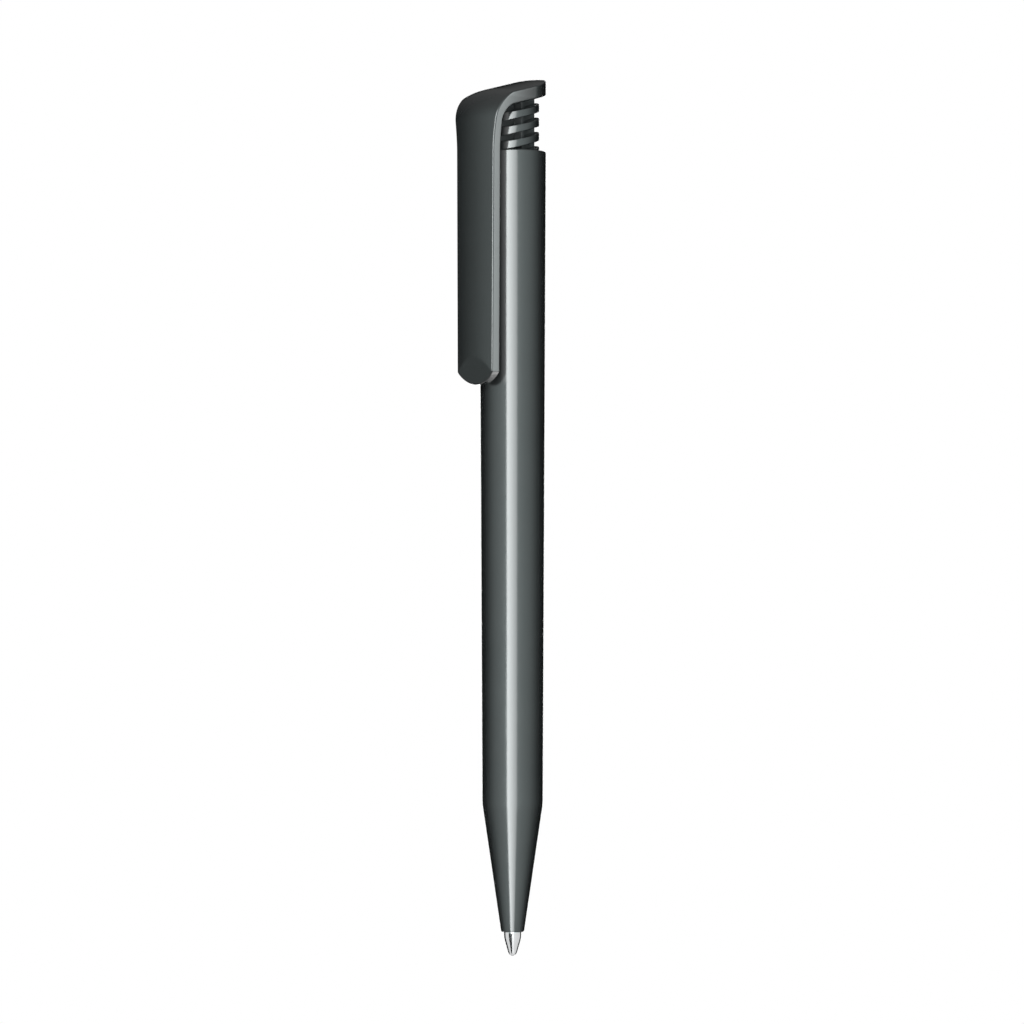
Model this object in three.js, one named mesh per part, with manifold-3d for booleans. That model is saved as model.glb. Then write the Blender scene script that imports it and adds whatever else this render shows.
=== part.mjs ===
// Retractable ballpoint pen with a one-piece cap, clip and spiral shaft.
// Millimetres. +Z runs along the pen's axis from the writing point to the push button.
// The origin is the writing point, and the clip lies on the -X side.

import * as THREE from 'three';
import { mergeVertices } from 'three/addons/utils/BufferGeometryUtils.js';
import Module from 'manifold-3d';

const wasm = await Module();
wasm.setup();

// Stroke of the mechanism, counted from the writing position
const stroke = 5.0;
const overTravel = 1.0;

// Clearances
const runningGap = 0.13;
const pressGap = 0.08;
const slideGap = 0.1;
const seatGap = 0.2;
const endGap = 0.3;

// Refill
const refillLength = 106.8;
const refillTubeRadius = 1.6;
const refillTubeWall = 0.42;
const inkLength = 62;
const greaseLength = 3;

// Nib and writing ball
const ballRadius = 0.5;
const ballGap = 0.04;
const lipHeight = 0.22;
const lipWall = 0.06;
const nibTipRadius = 0.7;
const nibTipHeight = 0.57;
const nibConeSlope = 0.2875;
const nibShoulderRound = 4.5;
const nibRadius = 1.37;
const nibReach = 3.87;
const shankRadius = 1.0;
const shankLength = 4.4;
const inkChannelRadius = 0.3;

// Tip adapter between nib and refill tube
const adapterRadius = 1.55;
const flangeThickness = 1.2;
const spigotLength = 4.6;
const adapterBoreRadius = 0.5;

// Return spring
const wireDiameter = 0.36;
const springTurns = 12;
const springGap = 0.25;
const springLength = 10.7;
const springSteps = 8;
const springSides = 5;

// Barrel
const shaftRadius = 4.22;
const rimWall = 0.95;
const coneTopRadius = 4.8;
const coneWall = 1.0;
const coneLength = 20.33;
const coneTopRound = 9;
const mouthRadius = 1.83;
const mouthRound = 0.16;
const lipBoreLength = 5.43;
const neckLength = 3.2;
const shoulderStep = 0.45;
const rimRound = 0.2;

// Slot in the barrel wall, and the retaining nub that runs in it
const slotHalfWidth = 1.35;
const slotRampHeight = 1.4;
const nubHalfWidth = 1.2;
const nubHeight = 1.9;
const nubTopStand = 0.3;
const nubNoseStand = 0.42;
const nubNoseDrop = 1.2;
const nubTopOverCupEnd = 2.5;
const tongueSlit = 0.35;

// Guide sleeve and cam rotor
const guideCount = 4;
const sleeveWall = 0.65;
const guideRibDepth = 0.6;
const guideRibLength = 4.6;
const guideSkirtLength = 7.05;
const grooveWidth = 1.7;
const rotorWall = 0.95;
const rotorRibWidth = 1.3;
const rotorRibLength = 3.0;
const rotorHeadHeight = 5.0;
const rotorSkirtLength = 3.6;
const rotorPilotHeight = 2.4;
const camToothHeight = 0.8;
const camToothSteps = 5;

// Cup and nose of the plunger, below the spiral shaft
const cupWall = 0.85;
const cupHeight = 5.66;
const cupFloor = 0.8;
const noseWall = 0.65;

// Spiral shaft
const shaftShowing = 8.2;
const webThickness = 1.62;
const crossRibReach = 2.3;
const crossRibFoot = 1.2;
const crossRibCrest = 0.5;
const finThickness = 1.0;
const finSpacing = 2.28;
const finClimb = 1.25;
const finTopBelowCap = 1.96;

// Cap and clip, one bent band with a crowned outer face
const capThickness = 2.71;
const capSlope = 0.254;
const capFallFrom = 1.5;
const capFall = 0.03;
const capSteps = 4;
const clipThickness = 2.23;
const clipGap = 1.27;
const bendRadius = 5.57;
const bendSteps = 10;
const crownRadius = 16.6;
const crownSteps = 14;
const clipLength = 41.38;
const clipEndHalfWidth = 3.88;
const clipNeckHalfWidth = 4.08;
const clipEndArcRadius = 4.87;
const flareHeight = 8.7;
const flareBelly = 3.2;
const facetHeight = 4.4;
const facetSlope = 0.175;
const wedgeApexHeight = 4.2;
const wedgeRise = 2.95;
const wedgeFall = 2.1;
const wedgeHalfWidth = 2.5;
const wedgeRound = 0.35;

// Facets round a circle
const coarseFacets = 24;
const mediumFacets = 48;
const fineFacets = 64;

// Heights, worked out from the writing point upwards
const mouthZ = nibReach;
const lipBoreTopZ = mouthZ + lipBoreLength;
const springSeatZ = lipBoreTopZ + neckLength;
const coneTopZ = mouthZ + coneLength;
const nibTopZ = lipBoreTopZ + overTravel + endGap;
const flangeZ = springSeatZ + springLength;
const tubeZ = flangeZ + flangeThickness;
const rotorFloorZ = refillLength + seatGap;
const rotorTopZ = rotorFloorZ + rotorHeadHeight;
const camZ = rotorTopZ - camToothHeight;
const sleeveZ = camZ - guideSkirtLength;
const sleeveTopZ = camZ + guideRibLength;
const cupZ = sleeveTopZ + overTravel + seatGap;
const cupTopZ = cupZ + cupHeight;
const barrelTopZ = cupTopZ + stroke + seatGap;
const nubTopZ = cupZ + nubTopOverCupEnd;
const nubZ = nubTopZ - nubHeight;
const capUnderZ = barrelTopZ + shaftShowing;
const capTopZ = capUnderZ + capThickness;

// Radii, worked out from the pieces that fit in one another
const boreRadius = shaftRadius + runningGap;
const rimRadius = boreRadius + rimWall;
const midBoreRadius = boreRadius - shoulderStep;
const lipBoreRadius = nibRadius + slideGap;
const neckBoreRadius = adapterRadius + runningGap;
const springRadius = adapterRadius + springGap + wireDiameter / 2;
const springBoreRadius = springRadius + wireDiameter / 2 + springGap;
const flangeRadius = springRadius + wireDiameter / 2;
const tubeBoreRadius = refillTubeRadius - refillTubeWall;
const sleeveRadius = boreRadius - pressGap;
const sleeveBoreRadius = sleeveRadius - sleeveWall;
const guideRibRadius = sleeveBoreRadius - guideRibDepth;
const noseRadius = guideRibRadius - runningGap;
const noseBoreRadius = noseRadius - noseWall;
const rotorSocketRadius = refillTubeRadius + pressGap;
const rotorRadius = rotorSocketRadius + rotorWall;
const rotorRibRadius = sleeveBoreRadius - runningGap;
const cupBoreRadius = shaftRadius - cupWall;
const coneSlope = (coneTopRadius - mouthRadius) / coneLength;
const clipInnerReach = rimRadius + clipGap;
const clipFaceReach = clipInnerReach + clipThickness;

// Looks
const plastic = { color: 0x3f4443, roughness: 0.28, metalness: 0 };
const innerPlastic = { color: 0x8f9391, roughness: 0.5, metalness: 0 };
const clearPlastic = { color: 0xd7dad8, roughness: 0.35, metalness: 0 };
const chrome = { color: 0xcfd2d3, roughness: 0.12, metalness: 1 };
const springSteel = { color: 0x9fa3a6, roughness: 0.3, metalness: 1 };
const carbide = { color: 0x8d9093, roughness: 0.2, metalness: 1 };
const inkPaste = { color: 0x10121c, roughness: 0.4, metalness: 0 };
const grease = { color: 0xcdbb86, roughness: 0.5, metalness: 0 };

/** Points of an outline, with an arc at each corner [x, y, radius] that names a radius. */
function outline(corners, arcSteps = 4) {
  return corners.flatMap(([x, y, radius], i) => {
    const here = new THREE.Vector2(x, y);
    if (!radius) return [here];
    const [beforeX, beforeY] = corners.at(i - 1);
    const [afterX, afterY] = corners[(i + 1) % corners.length];
    const toBefore = new THREE.Vector2(beforeX, beforeY).sub(here).normalize();
    const toAfter = new THREE.Vector2(afterX, afterY).sub(here).normalize();
    const half = toBefore.angleTo(toAfter) / 2;
    const middle = toBefore.clone().add(toAfter).normalize();
    const centre = here.clone().addScaledVector(middle, radius / Math.sin(half));
    const reach = radius / Math.tan(half);
    const from = here.clone().addScaledVector(toBefore, reach).sub(centre).angle();
    const to = here.clone().addScaledVector(toAfter, reach).sub(centre).angle();
    const sweep = Math.atan2(Math.sin(to - from), Math.cos(to - from));
    return arc(centre, radius, from, from + sweep, arcSteps);
  });
}

/** Points of a circular arc about a centre, with its angles in radians. */
function arc(centre, radius, from, to, steps) {
  return Array.from({ length: steps + 1 }, (_, k) => {
    const angle = from + ((to - from) * k) / steps;
    return new THREE.Vector2(Math.cos(angle), Math.sin(angle)).multiplyScalar(radius).add(centre);
  });
}

/** A three.js geometry as a solid whose shared corners are merged. */
function solid(geometry) {
  geometry.deleteAttribute('normal');
  geometry.deleteAttribute('uv');
  const merged = mergeVertices(geometry, 1e-5);
  const corners = merged.index.array;
  const kept = [];
  for (let i = 0; i < corners.length; i += 3) {
    const [a, b, c] = corners.slice(i, i + 3);
    if (a !== b && b !== c && c !== a) kept.push(a, b, c);
  }
  const vertProperties = Float32Array.from(merged.attributes.position.array);
  return new wasm.Manifold(new wasm.Mesh({ numProp: 3, vertProperties, triVerts: Uint32Array.from(kept) }));
}

/** Solid from a flat list of corner coordinates and a list of triangles. */
function fromFaces(corners, faces) {
  const geometry = new THREE.BufferGeometry();
  geometry.setAttribute('position', new THREE.Float32BufferAttribute(corners, 3));
  geometry.setIndex(faces);
  return solid(geometry);
}

/** A named mesh made from a solid. */
function piece(name, shape, look) {
  const { vertProperties, triVerts } = shape.getMesh();
  const geometry = new THREE.BufferGeometry();
  geometry.setAttribute('position', new THREE.BufferAttribute(Float32Array.from(vertProperties), 3));
  geometry.setIndex(new THREE.BufferAttribute(Uint32Array.from(triVerts), 1));
  geometry.computeVertexNormals();
  const mesh = new THREE.Mesh(geometry, new THREE.MeshStandardMaterial(look));
  mesh.name = name;
  return mesh;
}

/** Solid turned about Z from (radius, height) points that run counter-clockwise round the section. */
function turned(points, facets) {
  const profile = points[0].x === 0 ? points : [...points, points[0]];
  return solid(new THREE.LatheGeometry(profile, facets).rotateX(Math.PI / 2));
}

/** Extrusion of an outline by the distance between two places, starting at zero. */
function extruded(points, low, high) {
  return new THREE.ExtrudeGeometry(new THREE.Shape(points), { depth: high - low, bevelEnabled: false });
}

/** Prism of a (y, z) outline along X. */
function prismAlongX(points, low, high) {
  return solid(extruded(points, low, high).translate(0, 0, low).rotateX(Math.PI / 2).rotateZ(Math.PI / 2));
}

/** Prism of an (x, z) outline along Y. */
function prismAlongY(points, low, high) {
  return solid(extruded(points, low, high).translate(0, 0, -high).rotateX(Math.PI / 2));
}

/** Prism of an (x, y) outline along Z. */
function prismAlongZ(points, low, high) {
  return solid(extruded(points, low, high).translate(0, 0, low));
}

/** Upright cylinder about the axis. */
function rod(radius, low, high, facets) {
  return turned(outline([[0, low], [radius, low], [radius, high], [0, high]]), facets);
}

/** Closed body from rings of equal length, joined one to the next and capped at both ends. */
function loft(rings) {
  const count = rings[0].length;
  const faces = [];
  for (let start = 0; start < (rings.length - 1) * count; start += count) {
    for (let j = 0; j < count; j += 1) {
      const a = start + j;
      const b = start + ((j + 1) % count);
      faces.push(a, b, a + count, b, b + count, a + count);
    }
  }
  const last = (rings.length - 1) * count;
  for (let j = 1; j + 1 < count; j += 1) {
    faces.push(0, j + 1, j, last, last + j, last + j + 1);
  }
  return fromFaces(rings.flat().flatMap((point) => point.toArray()), faces);
}

/** Ring about Z whose lower and upper edges follow functions of the angle. */
function camRing(innerRadius, outerRadius, lowAt, highAt, steps) {
  const corners = [];
  const faces = [];
  for (let i = 0; i < steps; i += 1) {
    const angle = (2 * Math.PI * i) / steps;
    const section = [
      [innerRadius, lowAt(angle)],
      [outerRadius, lowAt(angle)],
      [outerRadius, highAt(angle)],
      [innerRadius, highAt(angle)],
    ];
    section.forEach(([radius, z]) => corners.push(radius * Math.cos(angle), radius * Math.sin(angle), z));
    const next = ((i + 1) % steps) * 4;
    for (let k = 0; k < 4; k += 1) {
      const across = (k + 1) % 4;
      faces.push(i * 4 + k, next + across, i * 4 + across, i * 4 + k, next + k, next + across);
    }
  }
  return fromFaces(corners, faces);
}

/** Height of the cam teeth at an angle: a long ramp and a short drop, twice per guide groove. */
function camTooth(angle) {
  const rampShare = 0.8;
  const turn = ((2 * guideCount * angle) / (2 * Math.PI)) % 1;
  const share = turn < rampShare ? turn / rampShare : (1 - turn) / (1 - rampShare);
  return camToothHeight * share;
}

/** Ring with cam teeth on its lower or upper edge. */
function toothedRing(innerRadius, outerRadius, lowAt, highAt) {
  return camRing(innerRadius, outerRadius, lowAt, highAt, 2 * guideCount * camToothSteps);
}

/** Bars that stand out from the axis, one on the ramp of every second cam tooth. */
function guideBars(width, reach, low, high) {
  const square = outline([[0, -width / 2], [reach, -width / 2], [reach, width / 2], [0, width / 2]]);
  const bar = prismAlongZ(square, low, high);
  const rampMiddle = 0.25;
  const turns = Array.from({ length: guideCount }, (_, k) => (360 * (k + rampMiddle)) / guideCount);
  return wasm.Manifold.union(turns.map((degrees) => bar.rotate([0, 0, degrees])));
}

/** Outer radius of the barrel above its cone. */
function barrelRadiusAt(z) {
  return THREE.MathUtils.mapLinear(z, coneTopZ, barrelTopZ, coneTopRadius, rimRadius);
}

/** One-piece barrel with its stepped bore, spring seat, sleeve shoulder and nub slot. */
function makeBarrel() {
  const shoulderZ = sleeveZ - seatGap;
  const innerConeZ = mouthZ + (springBoreRadius + coneWall - mouthRadius) / coneSlope;
  const section = outline([
    [lipBoreRadius, mouthZ],
    [mouthRadius, mouthZ, mouthRound],
    [coneTopRadius, coneTopZ, coneTopRound],
    [rimRadius, barrelTopZ, rimRound],
    [boreRadius, barrelTopZ],
    [boreRadius, shoulderZ],
    [midBoreRadius, shoulderZ],
    [coneTopRadius - coneWall, coneTopZ],
    [springBoreRadius, innerConeZ],
    [springBoreRadius, springSeatZ],
    [neckBoreRadius, springSeatZ],
    [neckBoreRadius, lipBoreTopZ],
    [lipBoreRadius, lipBoreTopZ],
  ]);
  const slotZ = nubZ - overTravel - slideGap;
  const slotTopZ = nubTopZ + stroke + slideGap;
  const slotSection = outline([
    [-rimRadius - 1, slotZ],
    [-shaftRadius + 1, slotZ],
    [-shaftRadius + 1, slotTopZ],
    [-boreRadius, slotTopZ],
    [-rimRadius, slotTopZ + slotRampHeight],
    [-rimRadius - 1, slotTopZ + slotRampHeight],
  ]);
  const slot = prismAlongY(slotSection, -slotHalfWidth, slotHalfWidth);
  return piece('barrel', turned(section, fineFacets).subtract(slot), plastic);
}

/** Sleeve pressed into the barrel, with slanted ribs and grooves that guide the rotor. */
function makeGuideSleeve() {
  const section = outline([
    [sleeveBoreRadius, sleeveZ],
    [sleeveRadius, sleeveZ, rimRound],
    [sleeveRadius, sleeveTopZ],
    [sleeveBoreRadius, sleeveTopZ],
  ]);
  const ribs = toothedRing(
    guideRibRadius,
    sleeveBoreRadius + sleeveWall / 2,
    (angle) => camZ + camTooth(angle),
    () => sleeveTopZ,
  );
  const grooves = guideBars(grooveWidth, sleeveBoreRadius, camZ - 1, sleeveTopZ + 1);
  return piece('guide_sleeve', turned(section, mediumFacets).add(ribs.subtract(grooves)), innerPlastic);
}

/** Rotor with a socket for the refill, ribs that run in the sleeve's grooves and a toothed crown. */
function makeCamRotor() {
  const skirtZ = rotorFloorZ - rotorSkirtLength;
  const pilotRadius = noseBoreRadius - slideGap;
  const section = outline([
    [0, rotorFloorZ],
    [rotorSocketRadius, rotorFloorZ],
    [rotorSocketRadius, skirtZ],
    [rotorRadius, skirtZ, rimRound],
    [rotorRadius, camZ],
    [pilotRadius, camZ],
    [pilotRadius, rotorTopZ + rotorPilotHeight, rimRound],
    [0, rotorTopZ + rotorPilotHeight],
  ]);
  const crown = toothedRing(pilotRadius / 2, rotorRadius, () => rotorFloorZ + rimRound, (angle) => camZ + camTooth(angle));
  const ribTop = camZ - endGap - camToothHeight;
  const ribRing = toothedRing(
    rotorSocketRadius + rotorWall / 2,
    rotorRibRadius,
    () => ribTop - rotorRibLength,
    (angle) => ribTop + camTooth(angle),
  );
  const ribs = ribRing.intersect(guideBars(rotorRibWidth, rotorRibRadius + 1, skirtZ, rotorTopZ));
  return piece('cam_rotor', turned(section, mediumFacets).add(crown).add(ribs), innerPlastic);
}

/** Crowned band of the cap and clip: a straight clip, a round bend and a slanted cap. */
function makeBand() {
  const capAngle = Math.atan(capSlope);
  const bendX = bendRadius - clipFaceReach;
  const bendEndX = bendX - bendRadius * Math.sin(capAngle);
  const bendZ = capTopZ + capSlope * bendEndX - bendRadius * Math.cos(capAngle);
  const clipEndZ = bendZ - clipLength;
  const capNormalThickness = capThickness * Math.cos(capAngle);
  const halfWidth = rimRadius + 0.5;
  const backX = rimRadius + 1;

  const ring = (x, z, angle, thickness) => {
    const inward = new THREE.Vector3(-Math.cos(angle), 0, -Math.sin(angle));
    const outer = new THREE.Vector3(x, 0, z);
    const crown = Array.from({ length: crownSteps + 1 }, (_, k) => {
      const y = THREE.MathUtils.lerp(halfWidth, -halfWidth, k / crownSteps);
      const drop = crownRadius - Math.sqrt(crownRadius ** 2 - y ** 2);
      return outer.clone().addScaledVector(inward, drop).setY(y);
    });
    const inner = outer.clone().addScaledVector(inward, thickness);
    return [...crown, inner.clone().setY(-halfWidth), inner.clone().setY(halfWidth)];
  };
  const rings = [ring(-clipFaceReach, clipEndZ - 1, Math.PI, clipThickness)];
  for (let k = 0; k <= bendSteps; k += 1) {
    const share = k / bendSteps;
    const angle = THREE.MathUtils.lerp(Math.PI, Math.PI / 2 + capAngle, share);
    const x = bendX + bendRadius * Math.cos(angle);
    const z = bendZ + bendRadius * Math.sin(angle);
    rings.push(ring(x, z, angle, THREE.MathUtils.lerp(clipThickness, capNormalThickness, share)));
  }
  for (let k = 0; k <= capSteps; k += 1) {
    const x = THREE.MathUtils.lerp(capFallFrom, backX, k / capSteps);
    const fall = capFall * (x - capFallFrom) ** 2;
    rings.push(ring(x, capTopZ + capSlope * x - fall, Math.PI / 2 + capAngle, capNormalThickness - fall));
  }

  const endHalfAngle = Math.asin(clipEndHalfWidth / clipEndArcRadius);
  const endCentre = new THREE.Vector2(0, clipEndZ + clipEndArcRadius);
  const endArc = arc(endCentre, clipEndArcRadius, -Math.PI / 2 - endHalfAngle, -Math.PI / 2 + endHalfAngle, 12);
  const flareZ = capUnderZ - flareHeight;
  const flare = new THREE.QuadraticBezierCurve(
    new THREE.Vector2(clipNeckHalfWidth, flareZ),
    new THREE.Vector2(clipNeckHalfWidth, flareZ + flareBelly),
    new THREE.Vector2(rimRadius, capUnderZ),
  ).getPoints(8);
  const above = new THREE.Vector2(rimRadius, capTopZ + backX);
  const rightSide = [...flare, above];
  const leftSide = rightSide.map(({ x, y }) => new THREE.Vector2(-x, y)).reverse();
  const front = prismAlongX([...endArc, ...rightSide, ...leftSide], -clipFaceReach - 1, backX + 1);

  const back = arc(new THREE.Vector2(), rimRadius, -Math.PI / 2, Math.PI / 2, 32);
  const side = clipFaceReach + 1;
  const planOutline = [new THREE.Vector2(-side, -rimRadius), ...back, new THREE.Vector2(-side, rimRadius)];
  const plan = prismAlongZ(planOutline, clipEndZ - 2, capTopZ + backX);

  const facetTopZ = clipEndZ + facetHeight;
  const facetFoot = -clipFaceReach + facetSlope * (facetHeight + 1);
  const facet = prismAlongY(
    outline([[-side, clipEndZ - 1], [facetFoot, clipEndZ - 1], [-clipFaceReach, facetTopZ], [-side, facetTopZ]]),
    -rimRadius,
    rimRadius,
  );

  const apexZ = clipEndZ + wedgeApexHeight;
  const wedgeRoot = -clipInnerReach - clipThickness / 4;
  const wedgeSection = outline([
    [wedgeRoot, apexZ - wedgeFall],
    [-clipInnerReach, apexZ - wedgeFall],
    [-barrelRadiusAt(apexZ) - slideGap, apexZ, wedgeRound],
    [-clipInnerReach, apexZ + wedgeRise],
    [wedgeRoot, apexZ + wedgeRise],
  ]);
  const wedge = prismAlongY(wedgeSection, -wedgeHalfWidth, wedgeHalfWidth);
  return loft(rings).intersect(front).intersect(plan).subtract(facet).add(wedge);
}

/** Spiral shaft: a web, a cross rib and slanted fins that climb on alternate sides. */
function makeSpiralShaft() {
  const lowZ = cupTopZ - cupFloor / 2;
  const highZ = capTopZ;
  const web = prismAlongY(
    outline([[-shaftRadius, lowZ], [shaftRadius, lowZ], [shaftRadius, highZ], [-shaftRadius, highZ]]),
    -webThickness / 2,
    webThickness / 2,
  );
  const crossRib = prismAlongZ(
    outline([
      [-crossRibFoot / 2, 0],
      [-crossRibCrest / 2, -crossRibReach],
      [crossRibCrest / 2, -crossRibReach],
      [crossRibFoot / 2, 0],
      [crossRibCrest / 2, crossRibReach],
      [-crossRibCrest / 2, crossRibReach],
    ]),
    lowZ,
    highZ,
  );
  const half = finThickness / 2;
  const fins = [];
  for (let z = capUnderZ - finTopBelowCap; z - finClimb - half > cupTopZ - finSpacing; z -= finSpacing) {
    [[-shaftRadius, 0, finClimb], [0, shaftRadius, -finClimb]].forEach(([low, high, rise]) => {
      const section = outline([
        [-shaftRadius, z - rise - half],
        [shaftRadius, z + rise - half],
        [shaftRadius, z + rise + half],
        [-shaftRadius, z - rise + half],
      ]);
      fins.push(prismAlongY(section, low, high));
    });
  }
  const insideCapZ = capUnderZ + capThickness / 4;
  const envelope = prismAlongY(
    outline([
      [-shaftRadius, lowZ],
      [shaftRadius, lowZ],
      [shaftRadius, insideCapZ + capSlope * shaftRadius],
      [-shaftRadius, insideCapZ - capSlope * shaftRadius],
    ]),
    -shaftRadius,
    shaftRadius,
  );
  const all = wasm.Manifold.union([web, crossRib, ...fins]);
  return all.intersect(rod(shaftRadius, lowZ, highZ, mediumFacets)).intersect(envelope);
}

/** Cup and toothed nose that push the rotor, with the sprung tongue and its nub. */
function makeCup() {
  const ceilingZ = cupTopZ - cupFloor;
  const shell = turned(
    outline([
      [0, ceilingZ],
      [cupBoreRadius, ceilingZ],
      [cupBoreRadius, cupZ],
      [shaftRadius, cupZ, rimRound],
      [shaftRadius, cupTopZ],
      [0, cupTopZ],
    ]),
    mediumFacets,
  );
  const nose = toothedRing(noseBoreRadius, noseRadius, (angle) => camZ + endGap + camTooth(angle), () => cupTopZ - cupFloor / 2);
  const slits = [-1, 1].map((side) => {
    const near = side * nubHalfWidth;
    const far = side * (nubHalfWidth + tongueSlit);
    const plan = outline([[-rimRadius, near], [-rimRadius, far], [-noseRadius, far], [-noseRadius, near]]);
    return prismAlongZ(side > 0 ? plan.reverse() : plan, cupZ - 1, ceilingZ - rimRound);
  });
  const nub = prismAlongY(
    outline([
      [-shaftRadius + cupWall / 2, nubZ],
      [-shaftRadius + cupWall / 2, nubTopZ],
      [-rimRadius - nubTopStand, nubTopZ],
      [-rimRadius - nubNoseStand, nubTopZ - nubNoseDrop],
      [-rimRadius, nubZ],
    ].reverse()),
    -nubHalfWidth,
    nubHalfWidth,
  );
  return shell.subtract(wasm.Manifold.union(slits)).add(nose).add(nub);
}

/** One moulding: cap, clip, spiral shaft, cup, nose and retaining nub. */
function makeClipPlunger() {
  return piece('clip_plunger', makeBand().add(makeSpiralShaft()).add(makeCup()), plastic);
}

/** Centre line of the return spring. */
function springPath() {
  const lowZ = springSeatZ + wireDiameter;
  const highZ = flangeZ - wireDiameter;
  return Array.from({ length: springTurns * springSteps + 1 }, (_, k) => {
    const angle = (2 * Math.PI * k) / springSteps;
    const z = THREE.MathUtils.lerp(lowZ, highZ, k / (springTurns * springSteps));
    return new THREE.Vector3(springRadius * Math.cos(angle), springRadius * Math.sin(angle), z);
  });
}

/** Least free distance between the turns of a coil, measured on its centre points. */
function leastCoilGap(path, steps, diameter) {
  let least = Infinity;
  path.forEach((point, i) => {
    path.slice(i + Math.ceil(steps / 2)).forEach((other) => {
      least = Math.min(least, point.distanceTo(other));
    });
  });
  return least - diameter;
}

/** Return spring, one unbroken wire. */
function makeSpring() {
  const path = springPath();
  const rings = path.map((point, i) => {
    const radial = new THREE.Vector3(point.x, point.y, 0).normalize();
    const along = path[Math.min(i + 1, path.length - 1)].clone().sub(path[Math.max(i - 1, 0)]).normalize();
    const across = radial.clone().cross(along).normalize();
    return Array.from({ length: springSides }, (_, k) => {
      const angle = (2 * Math.PI * k) / springSides;
      return point
        .clone()
        .addScaledVector(radial, (wireDiameter / 2) * Math.cos(angle))
        .addScaledVector(across, (-wireDiameter / 2) * Math.sin(angle));
    });
  });
  console.log(`Least gap between spring turns: ${leastCoilGap(path, springSteps, wireDiameter).toFixed(3)} mm`);
  return piece('return_spring', loft(rings), springSteel);
}

/** Metal nib: a cone with a crimped cup for the ball, an ink channel and a shank. */
function makeNib() {
  const cupRadius = ballRadius + ballGap;
  const lipRadius = Math.sqrt(cupRadius ** 2 - (ballRadius - lipHeight) ** 2);
  const coneTop = nibTipHeight + (nibRadius - nibTipRadius) / nibConeSlope;
  const shankTopZ = nibTopZ + shankLength;
  const cupFrom = Math.acos(inkChannelRadius / cupRadius);
  const cupTo = -Math.asin((ballRadius - lipHeight) / cupRadius);
  const cup = arc(new THREE.Vector2(0, ballRadius), cupRadius, cupFrom, cupTo, 8);
  const outside = outline([
    [lipRadius + lipWall, lipHeight],
    [nibTipRadius, nibTipHeight],
    [nibRadius, coneTop, nibShoulderRound],
    [nibRadius, nibTopZ],
    [shankRadius, nibTopZ],
    [shankRadius, shankTopZ],
    [inkChannelRadius, shankTopZ],
  ]);
  return piece('nib_socket', turned([...outside, ...cup], coarseFacets), chrome);
}

/** Writing ball, held in the nib's cup. */
function makeBall() {
  const ball = piece('writing_ball', solid(new THREE.SphereGeometry(ballRadius, 16, 12)), carbide);
  ball.position.z = ballRadius;
  return ball;
}

/** Plastic adapter that joins nib and tube and carries the spring's upper end. */
function makeTipAdapter() {
  const spigotTopZ = tubeZ + spigotLength;
  const section = outline([
    [shankRadius + pressGap, nibTopZ + pressGap],
    [adapterRadius, nibTopZ + pressGap],
    [adapterRadius, flangeZ],
    [flangeRadius, flangeZ],
    [flangeRadius, tubeZ],
    [tubeBoreRadius - pressGap, tubeZ],
    [tubeBoreRadius - pressGap, spigotTopZ],
    [adapterBoreRadius, spigotTopZ],
    [adapterBoreRadius, nibTopZ + shankLength + seatGap],
    [shankRadius + pressGap, nibTopZ + shankLength + seatGap],
  ]);
  return piece('tip_adapter', turned(section, coarseFacets), innerPlastic);
}

/** Refill tube, open at its rear end. */
function makeRefillTube() {
  const lowZ = tubeZ + pressGap;
  const section = outline([
    [tubeBoreRadius, lowZ],
    [refillTubeRadius, lowZ],
    [refillTubeRadius, refillLength],
    [tubeBoreRadius, refillLength],
  ]);
  return piece('refill_tube', turned(section, coarseFacets), clearPlastic);
}

/** Ink paste in the tube, above the adapter's spigot. */
function makeInk() {
  const lowZ = tubeZ + spigotLength + seatGap;
  return piece('ink_column', rod(tubeBoreRadius - pressGap, lowZ, lowZ + inkLength, coarseFacets), inkPaste);
}

/** Grease plug that follows the ink down the tube. */
function makeGreaseFollower() {
  const lowZ = tubeZ + spigotLength + seatGap + inkLength + seatGap;
  return piece('grease_follower', rod(tubeBoreRadius - pressGap, lowZ, lowZ + greaseLength, coarseFacets), grease);
}

/** A group of meshes. */
function grouped(...members) {
  return new THREE.Group().add(...members);
}

const casing = grouped(makeBarrel(), makeGuideSleeve(), makeSpring());
const refill = grouped(makeNib(), makeBall(), makeTipAdapter(), makeRefillTube(), makeInk(), makeGreaseFollower());
const pen = grouped(casing, makeClipPlunger(), makeCamRotor(), refill);

export default pen;
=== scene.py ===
"""Push ballpoint pen: casing, clip plunger on a spiral shaft, cam rotor and refill.

The pen's sizes are in millimetres and become metres when a mesh is made. The studio's are in metres.
"""

from __future__ import annotations

import logging
import math
from dataclasses import dataclass, replace
from enum import Enum

import bpy
import numpy as np
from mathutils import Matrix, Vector
from numpy.typing import NDArray


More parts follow.
